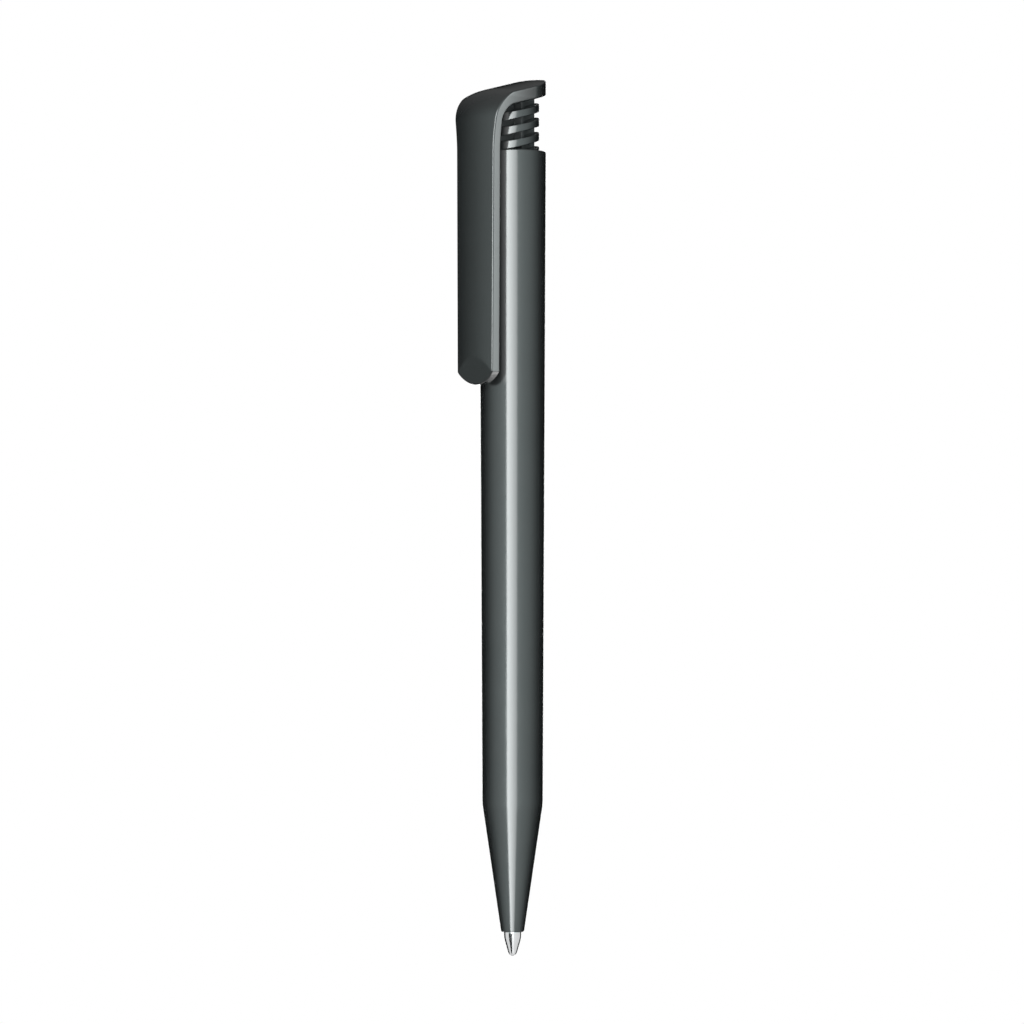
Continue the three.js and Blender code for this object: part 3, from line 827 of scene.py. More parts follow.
@dataclass(frozen=True)
class Band:
    """Cap and clip in one crowned band: a straight clip, a round bend and a slanted cap.

    The band is worked out over (y, s), with s along the middle of its outer face from the clip's end.
    The point at depth d below that face is R(s) + d * D(s), where R runs up the clip, round the bend and
    along the cap, and D turns from +X on the clip to -Z on the cap.
    """

    face_x: float = -8.90
    end_z: float = 90.64
    bend_z: float = 132.20
    bend_radius: float = 5.57
    clip_thickness: float = 2.17
    cap_thickness: float = 2.88
    crown_radius: float = 17.5
    end_half_width: float = 3.95
    end_arc_radius: float = 4.87
    end_corner_radius: float = 0.3
    neck_half_width: float = 4.15
    flare_z: float = 127.36
    flare_belly: float = 3.2
    facet_height: float = 4.4
    facet_slope: float = 0.175
    facet_blend: float = 0.04
    spine_start: float = 3.3
    back_fall_from: float = 1.5
    back_fall: float = 0.03
    edge: float = 0.23
    wedge_rows: Rows = (
        (-7.2, 92.92),
        (-6.73, 92.92, 0.15),
        (-5.24, 95.02, 0.35),
        (-6.73, 97.97, 0.4),
        (-7.2, 97.97),
    )
    wedge_half_width: float = 2.5
    wedge_edge: float = 0.22

    @property
    def cap_angle(self) -> float:
        """Slope of the cap in radians."""
        return math.atan(CAP_SLOPE)

    @property
    def bend_x(self) -> float:
        """Place of the bend's centre along X."""
        return self.face_x + self.bend_radius

    @property
    def lengths(self) -> tuple[float, float]:
        """Values of s at the start and the end of the bend."""
        straight = self.bend_z - self.end_z
        return straight, straight + self.bend_radius * (math.pi / 2 - self.cap_angle)

    @property
    def axis_s(self) -> float:
        """Value of s where the cap crosses the pen's axis."""
        second = self.lengths[1]
        return second - self.ridge(np.array([second]))[0][0] / math.cos(self.cap_angle)

    def ridge(self, s: Array) -> tuple[Array, Array, Array]:
        """Middle line of the outer face.

        On the clip x stays and z = end + s; on the bend the point lies at the angle
        180 - (s - s1) / R degrees of arc about the centre; on the cap it follows the slope.

        Args:
            s: lengths along the line.

        Returns:
            x, z and the share of the bend that is passed, 0 on the clip and 1 on the cap.
        """
        first, second = self.lengths
        share = np.clip((s - first) / (second - first), 0.0, 1.0)
        angle = np.pi - share * (second - first) / self.bend_radius
        onward = np.maximum(s - second, 0.0)
        x = self.bend_x + self.bend_radius * np.cos(angle) + onward * math.cos(self.cap_angle)
        z = self.bend_z + self.bend_radius * np.sin(angle) + onward * math.sin(self.cap_angle)
        return x, np.where(s < first, self.end_z + s, z), share

    def half_width(self, z: Array) -> Array:
        """Half width seen from the front: a straight taper, then neck + flare * u * u.

        The share u lies on a Bezier curve that is upright at the neck.

        Args:
            z: heights.

        Returns:
            The half width at each height.
        """
        low = self.end_z + self.end_arc_radius - math.sqrt(self.end_arc_radius**2 - self.end_half_width**2)
        widening = (self.neck_half_width - self.end_half_width) / (self.flare_z - low)
        taper = self.end_half_width + widening * (z - low)
        belly = 2 * self.flare_belly
        bow = CAP_UNDER_Z - self.flare_z - belly
        up = np.maximum(z - self.flare_z, 0.0)
        u = np.clip((-belly + np.sqrt(belly**2 + 4 * bow * up)) / (2 * bow), 0.0, 1.0)
        return np.minimum(taper, self.neck_half_width) + (RIM_RADIUS - self.neck_half_width) * u**2

    def outline(self) -> Array:
        """Closed outline over (y, s): end arc, right side, half round back and left side.

        Its points lie 0.1 apart beside the end facet, and each part above has a number of its own.

        Returns:
            Rows of y and s, counter-clockwise.
        """
        first, second = self.lengths
        half_angle = math.degrees(math.asin(self.end_half_width / self.end_arc_radius))
        middle = (0.0, self.end_arc_radius)
        foot = arc(middle, self.end_arc_radius, -90 - half_angle, -90 + half_angle, steps=84)
        low = foot[-1, 1]
        foot = np.delete(foot, [1, 2, -3, -2], axis=0)
        facet_end, flare_start = 5.0, first - 5.2
        parts = (
            (facet_end, flare_start, 36),
            (flare_start, first, 18),
            (first, second, 64),
            (second, self.axis_s, 20),
        )
        rows = [np.arange(low + 0.25, facet_end, 0.1)]
        rows += [np.linspace(start, end, count)[:-1] for start, end, count in parts]
        s = np.concatenate(rows)
        right = np.stack([self.half_width(self.ridge(s)[1]), s], axis=-1)
        turn = np.linspace(0.0, np.pi, 97)
        back_s = self.axis_s + RIM_RADIUS * np.sin(turn) / math.cos(self.cap_angle)
        back = np.stack([RIM_RADIUS * np.cos(turn), back_s], axis=-1)
        left = right[::-1] * np.array([-1.0, 1.0])
        points = np.concatenate([foot, right, back, left])
        radius = np.zeros(len(points))
        radius[[0, len(foot) - 1]] = self.end_corner_radius
        return rounded_outline(np.column_stack([points, radius]), steps=6)

    def outer_depth(self, y: Array, s: Array) -> Array:
        """Depth of the outer face below the ridge.

        It is the larger of the crown's drop R - sqrt(R^2 - y^2) and of the end facet, which blend into
        each other, plus the fall at the back, which grows with the square of x.

        Args:
            y: places across the band.
            s: places along the band.

        Returns:
            The depth at each place.
        """
        crown = self.crown_radius - np.sqrt(self.crown_radius**2 - y**2)
        facet = self.facet_slope * (self.facet_height - s)
        larger = 0.5 * (crown + facet + np.sqrt((crown - facet) ** 2 + self.facet_blend**2))
        behind = np.maximum(self.ridge(s)[0] - self.back_fall_from, 0.0)
        return larger + self.back_fall * behind**2

    def surface(self) -> Patch:
        """The whole band as one closed rounded plate that is bent over the ridge line.

        Returns:
            The closed surface.
        """
        outline = self.outline()
        spine_s = np.clip(outline[:, 1], self.spine_start, self.axis_s)
        spine = np.stack([0 * spine_s, spine_s], axis=-1)
        grid = plate(outline, spine, self.edge, fills=34, arc_steps=8, walls=8)
        y, s = grid.flat[..., 0], grid.flat[..., 1]
        x, z, share = self.ridge(s)
        thickness = self.clip_thickness + share * (self.cap_thickness - self.clip_thickness)
        depth = grid.depth(self.outer_depth(y, s), thickness)
        angle = -share * np.pi / 2
        z_there = z + depth * np.sin(angle)
        narrowed = y * self.half_width(z_there) / self.half_width(z)
        return Patch(np.stack([x + depth * np.cos(angle), narrowed, z_there], axis=-1), wrap_columns=False)

    def wedge(self) -> Patch:
        """Ridge inside the clip's end that holds cloth against the barrel."""
        outline = rounded_outline(corners(*self.wedge_rows))
        return plate_across_y(outline, self.wedge_half_width, self.wedge_edge)

    def build(self, dresser: Dresser) -> None:
        """Makes the band and its wedge.

        Args:
            dresser: dresses the pieces.
        """
        band = shell_mesh("clip_and_cap", [self.surface()], sharp=50.0)
        dresser.piece(band, Slot.GREY_PLASTIC, Body.PLUNGER, "clip_plunger")
        wedge = shell_mesh("clip_wedge", [self.wedge()])
        dresser.piece(wedge, Slot.GREY_PLASTIC, Body.PLUNGER, "clip_plunger")


@dataclass(frozen=True)
class SpiralShaft:
    """Web, cross rib and slanted half-round fins that climb on alternate sides like a thread."""

    low_z: float = 122.3
    web_half: float = 0.81
    web_reach: float = 4.20
    web_rise: float = 0.68
    web_edge: float = 0.14
    rib_reach: float = 2.3
    rib_foot: float = 0.6
    rib_crest: float = 0.25
    rib_rise: float = 0.3
    rib_edge: float = 0.02
    fin_thickness: float = 1.2
    fin_spread: float = 0.25
    fin_spacing: float = 2.28
    fin_climb: float = 1.12
    fin_top_z: float = 134.1
    fin_count: int = 6
    fin_edge: float = 0.16
    fin_root: tuple[tuple[float, float], ...] = ((4.17, 0.3), (-4.17, 0.3))
    fin_spine: float = -0.4

    def web(self) -> Patch:
        """Flat web in the plane of the clip, from the cup up into the cap.

        Returns:
            The closed surface.
        """
        top, reach = CAP_UNDER_Z + self.web_rise, self.web_reach
        rows = [
            (-reach, self.low_z),
            (reach, self.low_z),
            (reach, top + CAP_SLOPE * reach),
            (-reach, top - CAP_SLOPE * reach),
        ]
        return plate_across_y(np.array(rows), self.web_half, self.web_edge)

    def cross_rib(self) -> Patch:
        """Rib across the web that narrows towards its two crests.

        Returns:
            The closed surface.
        """
        rows = corners(
            (self.rib_foot, 0.0),
            (self.rib_crest, self.rib_reach, 0.1),
            (-self.rib_crest, self.rib_reach, 0.1),
            (-self.rib_foot, 0.0),
            (-self.rib_crest, -self.rib_reach, 0.1),
            (self.rib_crest, -self.rib_reach, 0.1),
        )
        outline = rounded_outline(rows)
        grid = plate(outline, 0 * outline, self.rib_edge)
        height = grid.depth(self.low_z, CAP_UNDER_Z + self.rib_rise)
        return Patch(np.concatenate([grid.flat, height[..., None]], axis=-1), wrap_columns=False)

    def fin(self, middle_z: float, side: int) -> Patch:
        """Half-round fin: z = middle - side * climb * x / radius.

        Its thickness grows with (x / radius) ** 2 towards both ends.

        Args:
            middle_z: height at the shaft's axis.
            side: -1 for the fin at y below 0 and +1 for the one above.

        Returns:
            The closed surface.
        """
        half_round = arc((0.0, 0.0), SHAFT_RADIUS, 180.0, 360.0, steps=72)
        outline = np.concatenate([half_round, np.array(self.fin_root)])
        spine = 0 * outline + np.array([0.0, self.fin_spine])
        grid = plate(outline, spine, self.fin_edge, fills=2, arc_steps=5)
        x, y = grid.flat[..., 0], -side * grid.flat[..., 1]
        half = self.fin_thickness / 2 * (1.0 + self.fin_spread * (x / SHAFT_RADIUS) ** 2)
        z = middle_z - side * self.fin_climb / SHAFT_RADIUS * x + grid.depth(-half, half)
        return Patch(np.stack([x, y, z], axis=-1), wrap_columns=False)

    def build(self, dresser: Dresser) -> None:
        """Makes the web, the rib and all the fins.

        Args:
            dresser: dresses the pieces.
        """
        middles = [self.fin_top_z - k * self.fin_spacing for k in range(self.fin_count)]
        fins = [self.fin(z, side) for z in middles for side in (-1, 1)]
        rows = (
            ("spiral_web", [self.web()], True),
            ("spiral_cross_rib", [self.cross_rib()], True),
            ("spiral_fins", fins, False),
        )
        for name, patches, groove in rows:
            mesh = shell_mesh(name, patches)
            dresser.piece(mesh, Slot.GREY_PLASTIC, Body.PLUNGER, "clip_plunger", groove)


@dataclass(frozen=True)
class PushCup:
    """Cup below the spiral, its toothed nose, and the sprung tongue with the nub that stays in the slot."""

    bore_radius: float = 3.37
    low_z: float = 117.0
    top_z: float = 122.66
    ceiling_z: float = 121.86
    nose_radius: float = 2.89
    nose_bore_radius: float = 2.24
    nose_top_z: float = 122.26
    tooth_z: float = 111.5
    tooth_height: float = 0.8
    tooth_count: int = 8
    tooth_ramp: float = 0.8
    tooth_steps: int = 40
    nub_half_width: float = 1.2
    nub_edge: float = 0.1
    nub_rows: Rows = (
        (-3.795, 119.5),
        (-5.60, 119.5, 0.1),
        (-5.72, 118.3, 0.2),
        (-5.30, 117.6, 0.12),
        (-3.795, 117.6),
    )
    slit: float = 0.35
    slit_outer_x: float = -5.0
    slit_inner_x: float = -2.95
    slit_z: float = 116.0
    slit_top_z: float = 121.66
    segments: int = 128

    def shell(self) -> Patch:
        """Cup, closed at its top."""
        rows = corners(
            (0.0, self.ceiling_z),
            (self.bore_radius, self.ceiling_z, 0.1),
            (self.bore_radius, self.low_z, 0.1),
            (SHAFT_RADIUS, self.low_z, 0.2),
            (SHAFT_RADIUS, self.top_z, 0.15),
            (0.0, self.top_z),
        )
        return turned(rounded_outline(rows), self.segments)

    def slits(self) -> list[Patch]:
        """Cuts on both sides of the tongue.

        Returns:
            The closed surface of each cut.
        """
        rows = [
            (self.slit_outer_x, self.slit_z),
            (self.slit_inner_x, self.slit_z),
            (self.slit_inner_x, self.slit_top_z),
            (self.slit_outer_x, self.slit_top_z),
        ]
        cut = plate_across_y(np.array(rows), self.slit / 2, edge=0.0).points
        middle = self.nub_half_width + self.slit / 2
        return [Patch(cut + np.array([0.0, side * middle, 0.0]), wrap_columns=False) for side in (-1, 1)]

    def nose(self) -> Patch:
        """Ring whose lower edge rises over the ramp's share of each tooth and drops over the rest.

        Returns:
            The closed surface.
        """
        steps = self.tooth_count * self.tooth_steps
        angle = 2 * np.pi * np.arange(steps) / steps
        turn = (self.tooth_count * angle / (2 * np.pi)) % 1
        rise = np.where(turn < self.tooth_ramp, turn / self.tooth_ramp, (1 - turn) / (1 - self.tooth_ramp))
        tooth = self.tooth_z + self.tooth_height * rise
        top = 0 * tooth + self.nose_top_z
        inner, outer = self.nose_bore_radius, self.nose_radius
        radius = np.array([inner, outer, outer, inner])[:, None]
        height = np.stack([tooth, tooth, top, top])
        return Patch(np.stack([radius * np.cos(angle), radius * np.sin(angle), height], axis=-1))

    def nub(self) -> Patch:
        """Nub with a square top that stops in the slot and a nose that slides in."""
        outline = rounded_outline(corners(*self.nub_rows))
        return plate_across_y(outline, self.nub_half_width, self.nub_edge)

    def build(self, dresser: Dresser) -> None:
        """Makes the cup with its slits, the nose and the nub.

        Args:
            dresser: dresses the pieces.
        """
        cup = carved("push_cup", shell_mesh("cup_shell", [self.shell()]), self.slits())
        nose = shell_mesh("cam_nose", [self.nose()])
        nub = shell_mesh("retaining_nub", [self.nub()])
        for mesh in (cup, nose, nub):
            dresser.piece(mesh, Slot.GREY_PLASTIC, Body.PLUNGER, "clip_plunger")


@dataclass(frozen=True)
class Refill:
    """Nib, ball, adapter, tube, ink and grease."""

    ball_radius: float = 0.5
    ball_gap: float = 0.04
    lip_z: float = 0.22
    lip_width: float = 0.06
    cone_radius: float = 0.70
    cone_z: float = 0.57
    nib_radius: float = 1.37
    nib_z: float = 2.90
    nib_blend_radius: float = 4.5
    nib_top_z: float = 10.6
    shank_radius: float = 1.0
    shank_top_z: float = 15.0
    channel_radius: float = 0.3
    adapter_z: float = 10.68
    adapter_radius: float = 1.55
    socket_radius: float = 1.08
    socket_top_z: float = 15.2
    flange_z: float = 23.2
    flange_radius: float = 2.16
    flange_top_z: float = 24.4
    spigot_radius: float = 1.10
    spigot_top_z: float = 29.0
    spigot_bore_radius: float = 0.5
    tube_z: float = 24.48
    tube_top_z: float = 106.8
    tube_bore_radius: float = 1.18
    tube_radius: float = 1.60
    column_radius: float = 1.10
    ink_z: float = 29.2
    ink_top_z: float = 91.2
    ink_dish: float = 0.15
    grease_z: float = 91.4
    grease_top_z: float = 94.4
    grease_dish: float = 0.3

    def nib_profile(self) -> Array:
        """Crimped lip, cone, cylinder and shank outside; channel and ball cup inside.

        Returns:
            Rows of radius and height.
        """
        cup_radius = self.ball_radius + self.ball_gap
        drop = self.ball_radius - self.lip_z
        lip_radius = math.sqrt(cup_radius**2 - drop**2)
        top = math.degrees(math.acos(self.channel_radius / cup_radius))
        low = -math.degrees(math.asin(drop / cup_radius))
        cup = arc((0.0, self.ball_radius), cup_radius, top, low, steps=24)
        outside = corners(
            (lip_radius + self.lip_width, self.lip_z, 0.03),
            (self.cone_radius, self.cone_z, 0.25),
            (self.nib_radius, self.nib_z, self.nib_blend_radius),
            (self.nib_radius, self.nib_top_z, 0.15),
            (self.shank_radius, self.nib_top_z),
            (self.shank_radius, self.shank_top_z, 0.12),
            (self.channel_radius, self.shank_top_z),
        )
        return rounded_outline(np.concatenate([outside, np.column_stack([cup, 0 * cup[:, 0]])]))

    def ball_profile(self) -> Array:
        """Half circle about the ball's centre."""
        return arc((0.0, self.ball_radius), self.ball_radius, -90.0, 90.0, steps=32)

    def adapter_profile(self) -> Array:
        """Barrel of the adapter, its flange for the spring and its spigot in the tube."""
        rows = corners(
            (self.socket_radius, self.adapter_z),
            (self.adapter_radius, self.adapter_z, 0.12),
            (self.adapter_radius, self.flange_z),
            (self.flange_radius, self.flange_z, 0.12),
            (self.flange_radius, self.flange_top_z, 0.12),
            (self.spigot_radius, self.flange_top_z),
            (self.spigot_radius, self.spigot_top_z, 0.15),
            (self.spigot_bore_radius, self.spigot_top_z),
            (self.spigot_bore_radius, self.socket_top_z),
            (self.socket_radius, self.socket_top_z),
        )
        return rounded_outline(rows)

    def tube_profile(self) -> Array:
        """Wall of the refill tube."""
        rows = corners(
            (self.tube_bore_radius, self.tube_z, 0.05),
            (self.tube_radius, self.tube_z, 0.08),
            (self.tube_radius, self.tube_top_z, 0.08),
            (self.tube_bore_radius, self.tube_top_z, 0.05),
        )
        return rounded_outline(rows)

    def column_profile(self, low_z: float, high_z: float, dish: float) -> Array:
        """Column that fills the tube: z = high - dish * (1 - (r / R) ** 2) at its upper end.

        Args:
            low_z: height of its flat lower end.
            high_z: height of the upper end's rim.
            dish: depth of the upper end's middle.

        Returns:
            Rows of radius and height.
        """
        share = np.linspace(1.0, 0.0, 9)
        top = np.stack([self.column_radius * share, high_z - dish * (1 - share**2)], axis=-1)
        return np.concatenate([np.array([[0.0, low_z], [self.column_radius, low_z]]), top])

    def build(self, dresser: Dresser) -> None:
        """Makes every part of the refill, from its profile, longest edge and segments.

        Args:
            dresser: dresses the pieces.
        """
        ink = self.column_profile(self.ink_z, self.ink_top_z, self.ink_dish)
        grease = self.column_profile(self.grease_z, self.grease_top_z, self.grease_dish)
        rows = (
            ("nib_cone", self.nib_profile(), 0.6, 128, Slot.NIB_METAL, Body.REFILL, "nib_socket"),
            ("rolling_ball", self.ball_profile(), 9.0, 64, Slot.BALL_METAL, Body.BALL, "writing_ball"),
            ("nib_adapter", self.adapter_profile(), 3.0, 96, Slot.INNER_PLASTIC, Body.REFILL, "tip_adapter"),
            ("ink_tube", self.tube_profile(), 6.0, 96, Slot.TUBE_PLASTIC, Body.REFILL, "refill_tube"),
            ("ink_paste", ink, 6.0, 64, Slot.INK, Body.REFILL, "ink_column"),
            ("grease_plug", grease, 1.0, 64, Slot.GREASE, Body.REFILL, "grease_follower"),
        )
        for name, profile, longest, segments, slot, body, node in rows:
            mesh = shell_mesh(name, [turned(spaced(profile, longest), segments)])
            dresser.piece(mesh, slot, body, node)


@dataclass(frozen=True)
class ReturnSpring:
    """Compression spring between the barrel's seat and the adapter's flange."""

    radius: float = 1.98
    wire: float = 0.36
    turns: float = 12.0
    low_z: float = 12.86
    high_z: float = 22.84
    seat_z: float = 12.5
    flange_z: float = 23.2
    steps_per_turn: int = 48
    sides: int = 14
    end_scale: float = 0.7

    def surface(self) -> Patch:
        """Wire along a helix: c(a) + w * (cos b * radial + sin b * binormal), closed by a rounded end.

        Returns:
            The closed surface.
        """
        share = np.linspace(0.0, 1.0, int(self.turns * self.steps_per_turn) + 1)
        angle = 2 * np.pi * self.turns * share
        rise = (self.high_z - self.low_z) / (2 * np.pi * self.turns)
        radial = np.stack([np.cos(angle), np.sin(angle), 0 * angle], axis=-1)
        onward = [-self.radius * np.sin(angle), self.radius * np.cos(angle), 0 * angle + rise]
        binormal = np.cross(unit(np.stack(onward, axis=-1)), radial)
        middle = self.radius * radial + np.stack([0 * share, 0 * share, self.low_z + rise * angle], axis=-1)
        around = 2 * np.pi * np.arange(self.sides) / self.sides
        ring = np.cos(around)[:, None] * radial[:, None] + np.sin(around)[:, None] * binormal[:, None]
        half = self.wire / 2
        body = middle[:, None] + half * ring
        scales = ((0, 0.0), (0, self.end_scale), (-1, self.end_scale), (-1, 0.0))
        ends = [middle[[k]][:, None] + half * scale * ring[[k]] for k, scale in scales]
        return Patch(np.concatenate([ends[0], ends[1], body, ends[2], ends[3]]), wrap_rows=False)

    def build(self, dresser: Dresser) -> None:
        """Makes the spring between the casing's seat and the refill's flange, on no body of its own.

        Args:
            dresser: dresses the pieces.
        """
        mesh = shell_mesh("coil_spring", [self.surface()])
        spring = dresser.piece(mesh, Slot.SPRING_STEEL, None, "return_spring")
        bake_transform(spring)


# Studio


class SeenBy(Enum):
    """Kinds of ray that a light card serves, as (diffuse, glossy)."""

    MATTE = (True, False)
    GLOSS = (False, True)


@dataclass(frozen=True)
class Card:
    """A curved light panel round the pen that the camera doesn't see.

    Attributes:
        name: name of the card.
        start: heading of its left edge, in degrees to the right of the camera's side.
        end: heading of its right edge.
        low: lowest height in metres.
        high: greatest height in metres.
        left: radiance at the left edge.
        right: radiance at the right edge.
        seen_by: whether it gives matte light or a reflection.
        radius: distance from the pen's axis in metres.
        tint: colour of the light.
        lights_only: the one piece that it lights, or none for all. Such a card lets other light through.
        skips: the one piece that it doesn't light, or none.
    """

    name: str
    start: float
    end: float
    low: float
    high: float
    left: float
    right: float
    seen_by: SeenBy
    radius: float = 1.0
    tint: Triple = (1.0, 1.0, 1.0)
    lights_only: str = ""
    skips: str = ""


MATTE, GLOSS = SeenBy.MATTE, SeenBy.GLOSS
CLIP = "clip_and_cap"
COOL = (0.95, 1.0, 1.0)
COOLER = (0.93, 1.0, 1.0)

CARDS = (
    Card("key_reflection", -21.5, 16.5, -0.60, 0.50, 17.8, 6.2, GLOSS, 1.0, COOL, skips=CLIP),
    Card("clip_reflection", -21.5, 16.5, 0.04, 0.50, 17.8, 6.2, GLOSS, 0.99, COOL, CLIP),
    Card("key_light", -23.0, 16.5, -0.35, 0.45, 3.9, 3.9, MATTE, 1.0, skips=CLIP),
    Card("clip_light", -23.0, 16.5, -0.35, 0.45, 2.6, 2.6, MATTE, 1.01, lights_only=CLIP),
    Card("broad_light", -60.0, 60.0, 0.0, 0.8, 0.55, 0.55, MATTE, 1.1),
    Card("back_reflection", 174.0, 186.0, -0.35, 0.36, 6.0, 6.0, GLOSS, 1.3),
    Card("back_light", 160.0, 200.0, -0.2, 0.6, 8.0, 8.0, MATTE, 1.2),
    Card("top_light", 0.0, 360.0, 1.0, 1.5, 1.5, 1.5, MATTE, 0.7),
    Card("nib_left", -84.0, -39.0, -0.003, 0.00366, 0.82, 0.90, GLOSS, 0.0024),
    Card("nib_flag", -39.0, -6.0, -0.003, 0.00366, 0.0, 0.0, GLOSS, 0.0024),
    Card("nib_front", -6.0, 14.0, -0.003, 0.00366, 1.25, 1.15, GLOSS, 0.0024),
    Card("nib_right", 14.0, 92.0, -0.003, 0.00366, 0.90, 0.80, GLOSS, 0.0024),
    Card("clip_side", 52.0, 73.8, 0.06, 0.165, 5.55, 5.55, GLOSS, 0.03, COOLER, CLIP),
    Card("cap_side", 73.8, 78.2, 0.06, 0.165, 5.2, 2.2, GLOSS, 0.03, COOLER, CLIP),
    Card("cap_rear", 78.2, 85.2, 0.06, 0.165, 2.2, 0.0, GLOSS, 0.03, lights_only=CLIP),
    Card("clip_tip", -42.0, 30.0, 0.0860, 0.0903, 0.0, 4.0, GLOSS, 0.0056, lights_only=CLIP),
    Card("clip_shade", -25.0, -11.5, 0.0912, 0.1279, 0.0, 1.9, GLOSS, 0.0058, lights_only="pen_barrel"),
    Card("fin_shade", -28.0, -11.5, 0.1279, 0.1372, 0.0, 1.9, GLOSS, 0.0058, lights_only="spiral_fins"),
    Card("clip_end", 80.0, 140.0, 0.025, 0.074, 3.2, 3.2, GLOSS, 0.03, lights_only=CLIP),
)


@dataclass(frozen=True)
class Studio:
    """Camera, floor, soft lights and a world that is white to the camera.

    The camera stands level at 45 degrees between the clip's front and the pen's side. The matte light
    and the reflections come from panels of their own, so that the plastic's edges stay dark.

    Attributes:
        target: the point that the camera looks at.
        distance: from the target to the camera.
        lens: focal length in millimetres.
        azimuth: the camera's side in degrees, 0 in front and -90 at the clip.
        floor_z: height of the floor.
        floor_radius: radius of the floor.
        degrees_per_strip: widest strip of a light card.
        world_tint: colour of the world's reflections.
        world_stops: places from the far side, 0, to the camera's, 1, and the radiance there.
        ground_fade: heights of direction over which the reflected world fades in above the ground.
        zenith_fade: heights of direction over which it falls to zenith_share.
        zenith_share: what is left of it straight above.
        sky_fade: heights of direction over which a plain sky fades in.
        sky_level: radiance of that sky straight above.
    """

    target: Triple = (-0.0000675, 0.0000675, 0.0706)
    distance: float = 0.573
    lens: float = 126.6
    azimuth: float = -45.0
    floor_z: float = -0.25
    floor_radius: float = 0.30
    degrees_per_strip: float = 6.0
    world_tint: Triple = (0.87, 1.0, 0.995)
    world_stops: tuple[tuple[float, float], ...] = (
        (0.22, 0.0),
        (0.35, 0.11),
        (0.43, 0.31),
        (0.53, 0.60),
        (0.62, 1.00),
        (0.70, 1.30),
        (0.80, 1.65),
        (0.875, 1.93),
        (0.955, 2.47),
        (1.0, 2.9),
    )
    ground_fade: tuple[float, float] = (-0.52, -0.44)
    zenith_fade: tuple[float, float] = (0.3, 0.9)
    zenith_share: float = 0.3
    sky_fade: tuple[float, float] = (0.30, 0.95)
    sky_level: float = 0.35

    def toward(self, heading: float) -> Array:
        """Level unit vector from the pen, at a heading in degrees to the right of the camera's side."""
        angle = math.radians(self.azimuth + heading)
        return np.array([math.sin(angle), -math.cos(angle), 0.0])

    def camera(self) -> None:
        """Long lens, level, aimed at the middle of the pen."""
        data = bpy.data.cameras.new("photo_camera")
        data.lens, data.sensor_width = self.lens, 36.0
        data.clip_start, data.clip_end = 0.01, 20.0
        camera = placed("photo_camera", data)
        away = Vector(self.toward(0.0))
        camera.location = Vector(self.target) + away * self.distance
        camera.rotation_euler = (-away).to_track_quat("-Z", "Y").to_euler()
        bpy.context.scene.camera = camera

    def card_mesh(self, card: Card) -> bpy.types.Mesh:
        """Panel radius * (sin h, -cos h) over the headings h, with the share of its width in a UV map.

        Args:
            card: the panel's sizes.

        Returns:
            The mesh.
        """
        width = card.end - card.start
        share = np.linspace(0.0, 1.0, max(3, int(width / self.degrees_per_strip)))
        angle = np.radians(self.azimuth + card.start + width * share)
        flat = card.radius * np.stack([np.sin(angle), -np.cos(angle)], axis=-1)
        rows = [np.column_stack([flat, np.full(len(flat), height)]) for height in (card.low, card.high)]
        grid = Patch(np.stack(rows, axis=1), wrap_rows=False, wrap_columns=False)
        quads = grid.quads()
        mesh = bpy.data.meshes.new(card.name)
        mesh.from_pydata(grid.points.reshape(-1, 3).tolist(), [], quads.tolist())
        along = np.repeat(share, 2)[quads.reshape(-1)]
        places = np.stack([along, 0 * along], axis=-1).reshape(-1)
        mesh.uv_layers.new(name="along").data.foreach_set("uv", places)
        return mesh

    def card(self, card: Card) -> None:
        """Adds one panel, whose radiance changes evenly from its left edge to its right.

        Args:
            card: the panel's sizes and light.
        """
        material, tree = new_material(card.name)
        place = tree.add("ShaderNodeTexCoord").outputs["UV"]
        along = tree.add("ShaderNodeSeparateXYZ", {0: place}).outputs["X"]
        strength = tree.ramp(along, 0.0, 1.0, card.left, card.right)
        light = tree.add("ShaderNodeEmission", {"Color": (*card.tint, 1.0), "Strength": strength})
        if card.lights_only:
            clear = tree.add("ShaderNodeBsdfTransparent")
            light = tree.add("ShaderNodeAddShader", {0: light.outputs[0], 1: clear.outputs[0]})
        tree.add("ShaderNodeOutputMaterial", {"Surface": light.outputs[0]})
        mesh = self.card_mesh(card)
        mesh.materials.append(material)
        item = placed(card.name, mesh)
        item.visible_camera = item.visible_shadow = item.visible_transmission = False
        item.visible_diffuse, item.visible_glossy = card.seen_by.value

    def link_cards(self) -> None:
        """Ties each card that lights one piece alone, or all but one, to that piece."""
        for card in CARDS:
            named = card.lights_only or card.skips
            if not named:
                continue
            receivers = bpy.data.collections.new(card.name)
            receivers.objects.link(bpy.data.objects[named])
            if card.skips:
                receivers.collection_objects[0].light_linking.link_state = "EXCLUDE"
            bpy.data.objects[card.name].light_linking.receiver_collection = receivers

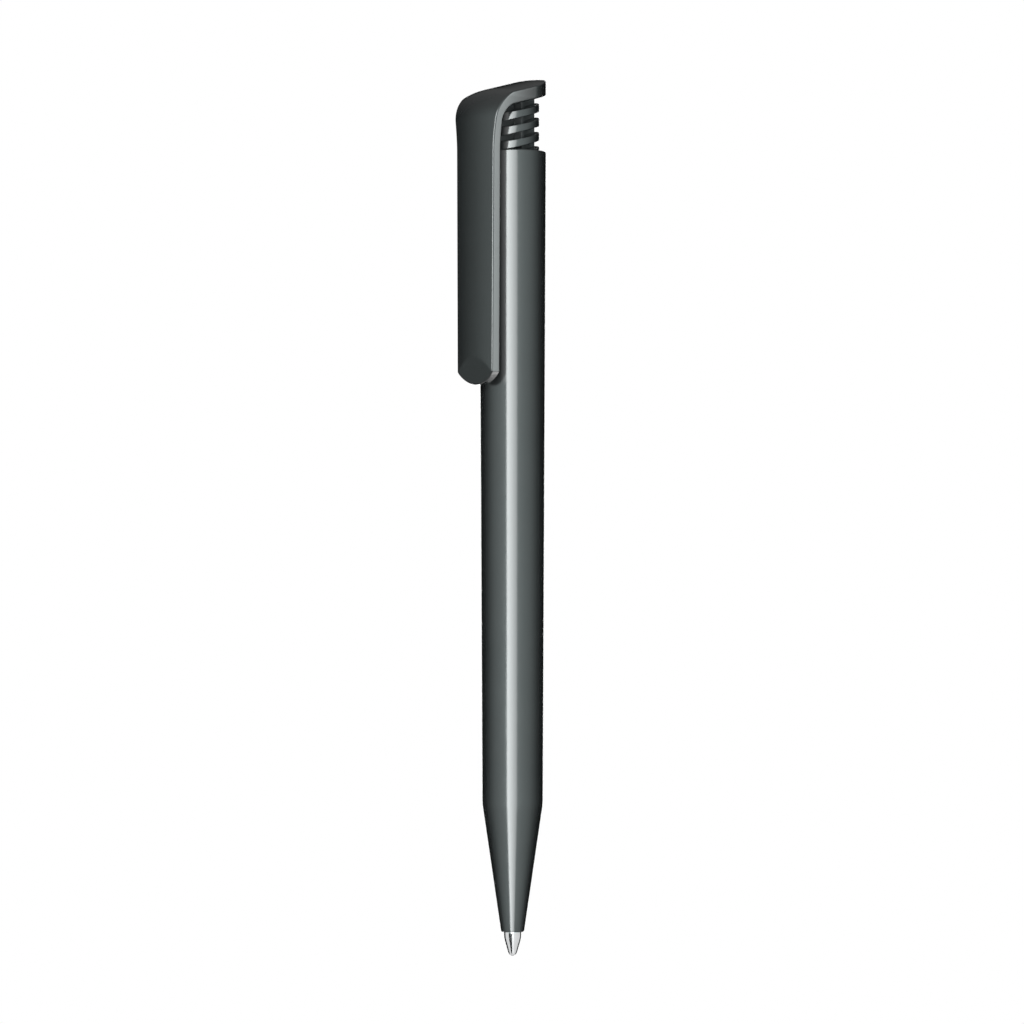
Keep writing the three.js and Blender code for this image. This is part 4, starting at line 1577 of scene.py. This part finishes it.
    def floor(self) -> None:
        """Pale round floor below the pen, plain white to the camera, in reflections and through glass."""
        edge = arc((0.0, 0.0), self.floor_radius, 0.0, 360.0, steps=96)[:-1]
        points = np.column_stack([edge, 0 * edge[:, 0] + self.floor_z])
        mesh = bpy.data.meshes.new("pale_floor")
        mesh.from_pydata(points.tolist(), [], [tuple(range(len(edge)))])
        material, tree = new_material("pale_floor")
        path = tree.add("ShaderNodeLightPath")
        seen = tree.math("MAXIMUM", path.outputs["Is Camera Ray"], path.outputs["Is Glossy Ray"])
        seen = tree.math("MAXIMUM", seen, path.outputs["Is Transmission Ray"])
        matte = tree.add("ShaderNodeBsdfDiffuse", {"Color": (0.8, 0.8, 0.8, 1.0)})
        white = tree.add("ShaderNodeEmission", {"Color": (1.0, 1.0, 1.0, 1.0), "Strength": 1.0})
        mixed = tree.add("ShaderNodeMixShader", {0: seen, 1: matte.outputs[0], 2: white.outputs[0]})
        tree.add("ShaderNodeOutputMaterial", {"Surface": mixed.outputs[0]})
        mesh.materials.append(material)
        placed("pale_floor", mesh)

    def world(self) -> None:
        """World that is white to the camera and, in reflections, bright on the camera's side."""
        world = bpy.data.worlds.new("studio_world")
        world.use_nodes = True
        world.cycles_visibility.diffuse = False
        bpy.context.scene.world = world
        tree = Tree(world.node_tree)
        direction = tree.add("ShaderNodeTexCoord").outputs["Generated"]
        to_camera = {0: direction, 1: tuple(self.toward(0.0))}
        facing = tree.add("ShaderNodeVectorMath", to_camera, operation="DOT_PRODUCT").outputs["Value"]
        glow = tree.add("ShaderNodeValToRGB", {0: tree.ramp(facing, -1.0, 1.0)})
        elements, peak = glow.color_ramp.elements, self.world_stops[-1][1]
        while len(elements) < len(self.world_stops):
            elements.new(0.5)
        for element, (position, value) in zip(elements, self.world_stops):
            element.position = position
            element.color = (*(value / peak * np.array(self.world_tint)), 1.0)
        up = tree.add("ShaderNodeSeparateXYZ", {0: direction}).outputs["Z"]
        over_ground = tree.ramp(up, *self.ground_fade, 0.0, peak)
        level = tree.math("MULTIPLY", over_ground, tree.ramp(up, *self.zenith_fade, 1.0, self.zenith_share))
        scaled = {0: glow.outputs[0], "Scale": level}
        front = tree.add("ShaderNodeVectorMath", scaled, operation="SCALE").outputs[0]
        sky = tree.ramp(up, *self.sky_fade, 0.0, self.sky_level)
        light = tree.add("ShaderNodeVectorMath", {0: front, 1: sky}, operation="ADD").outputs[0]
        by_camera = tree.add("ShaderNodeLightPath").outputs["Is Camera Ray"]
        seen = tree.mix(by_camera, light, (1.0, 1.0, 1.0, 1.0))
        background = tree.add("ShaderNodeBackground", {"Color": seen, "Strength": 1.0})
        tree.add("ShaderNodeOutputWorld", {"Surface": background.outputs[0]})

    def build(self) -> None:
        """Sets the view and makes the camera, the floor, the cards and the world."""
        bpy.context.scene.view_settings.view_transform = "Standard"
        self.camera()
        self.floor()
        for card in CARDS:
            self.card(card)
        self.world()


def main() -> None:
    """Builds the studio and every sub-assembly in order."""
    logging.basicConfig(level=logging.INFO, format="%(message)s")
    studio = Studio()
    studio.build()
    dresser = Dresser()
    for assembly in (Barrel(), Band(), SpiralShaft(), PushCup(), Refill(), ReturnSpring()):
        assembly.build(dresser)
    for name in ("guide_sleeve", "cam_rotor"):
        dresser.dress_node(name, Slot.INNER_PLASTIC)
    studio.link_cards()


if __name__ == "__main__":
    main()
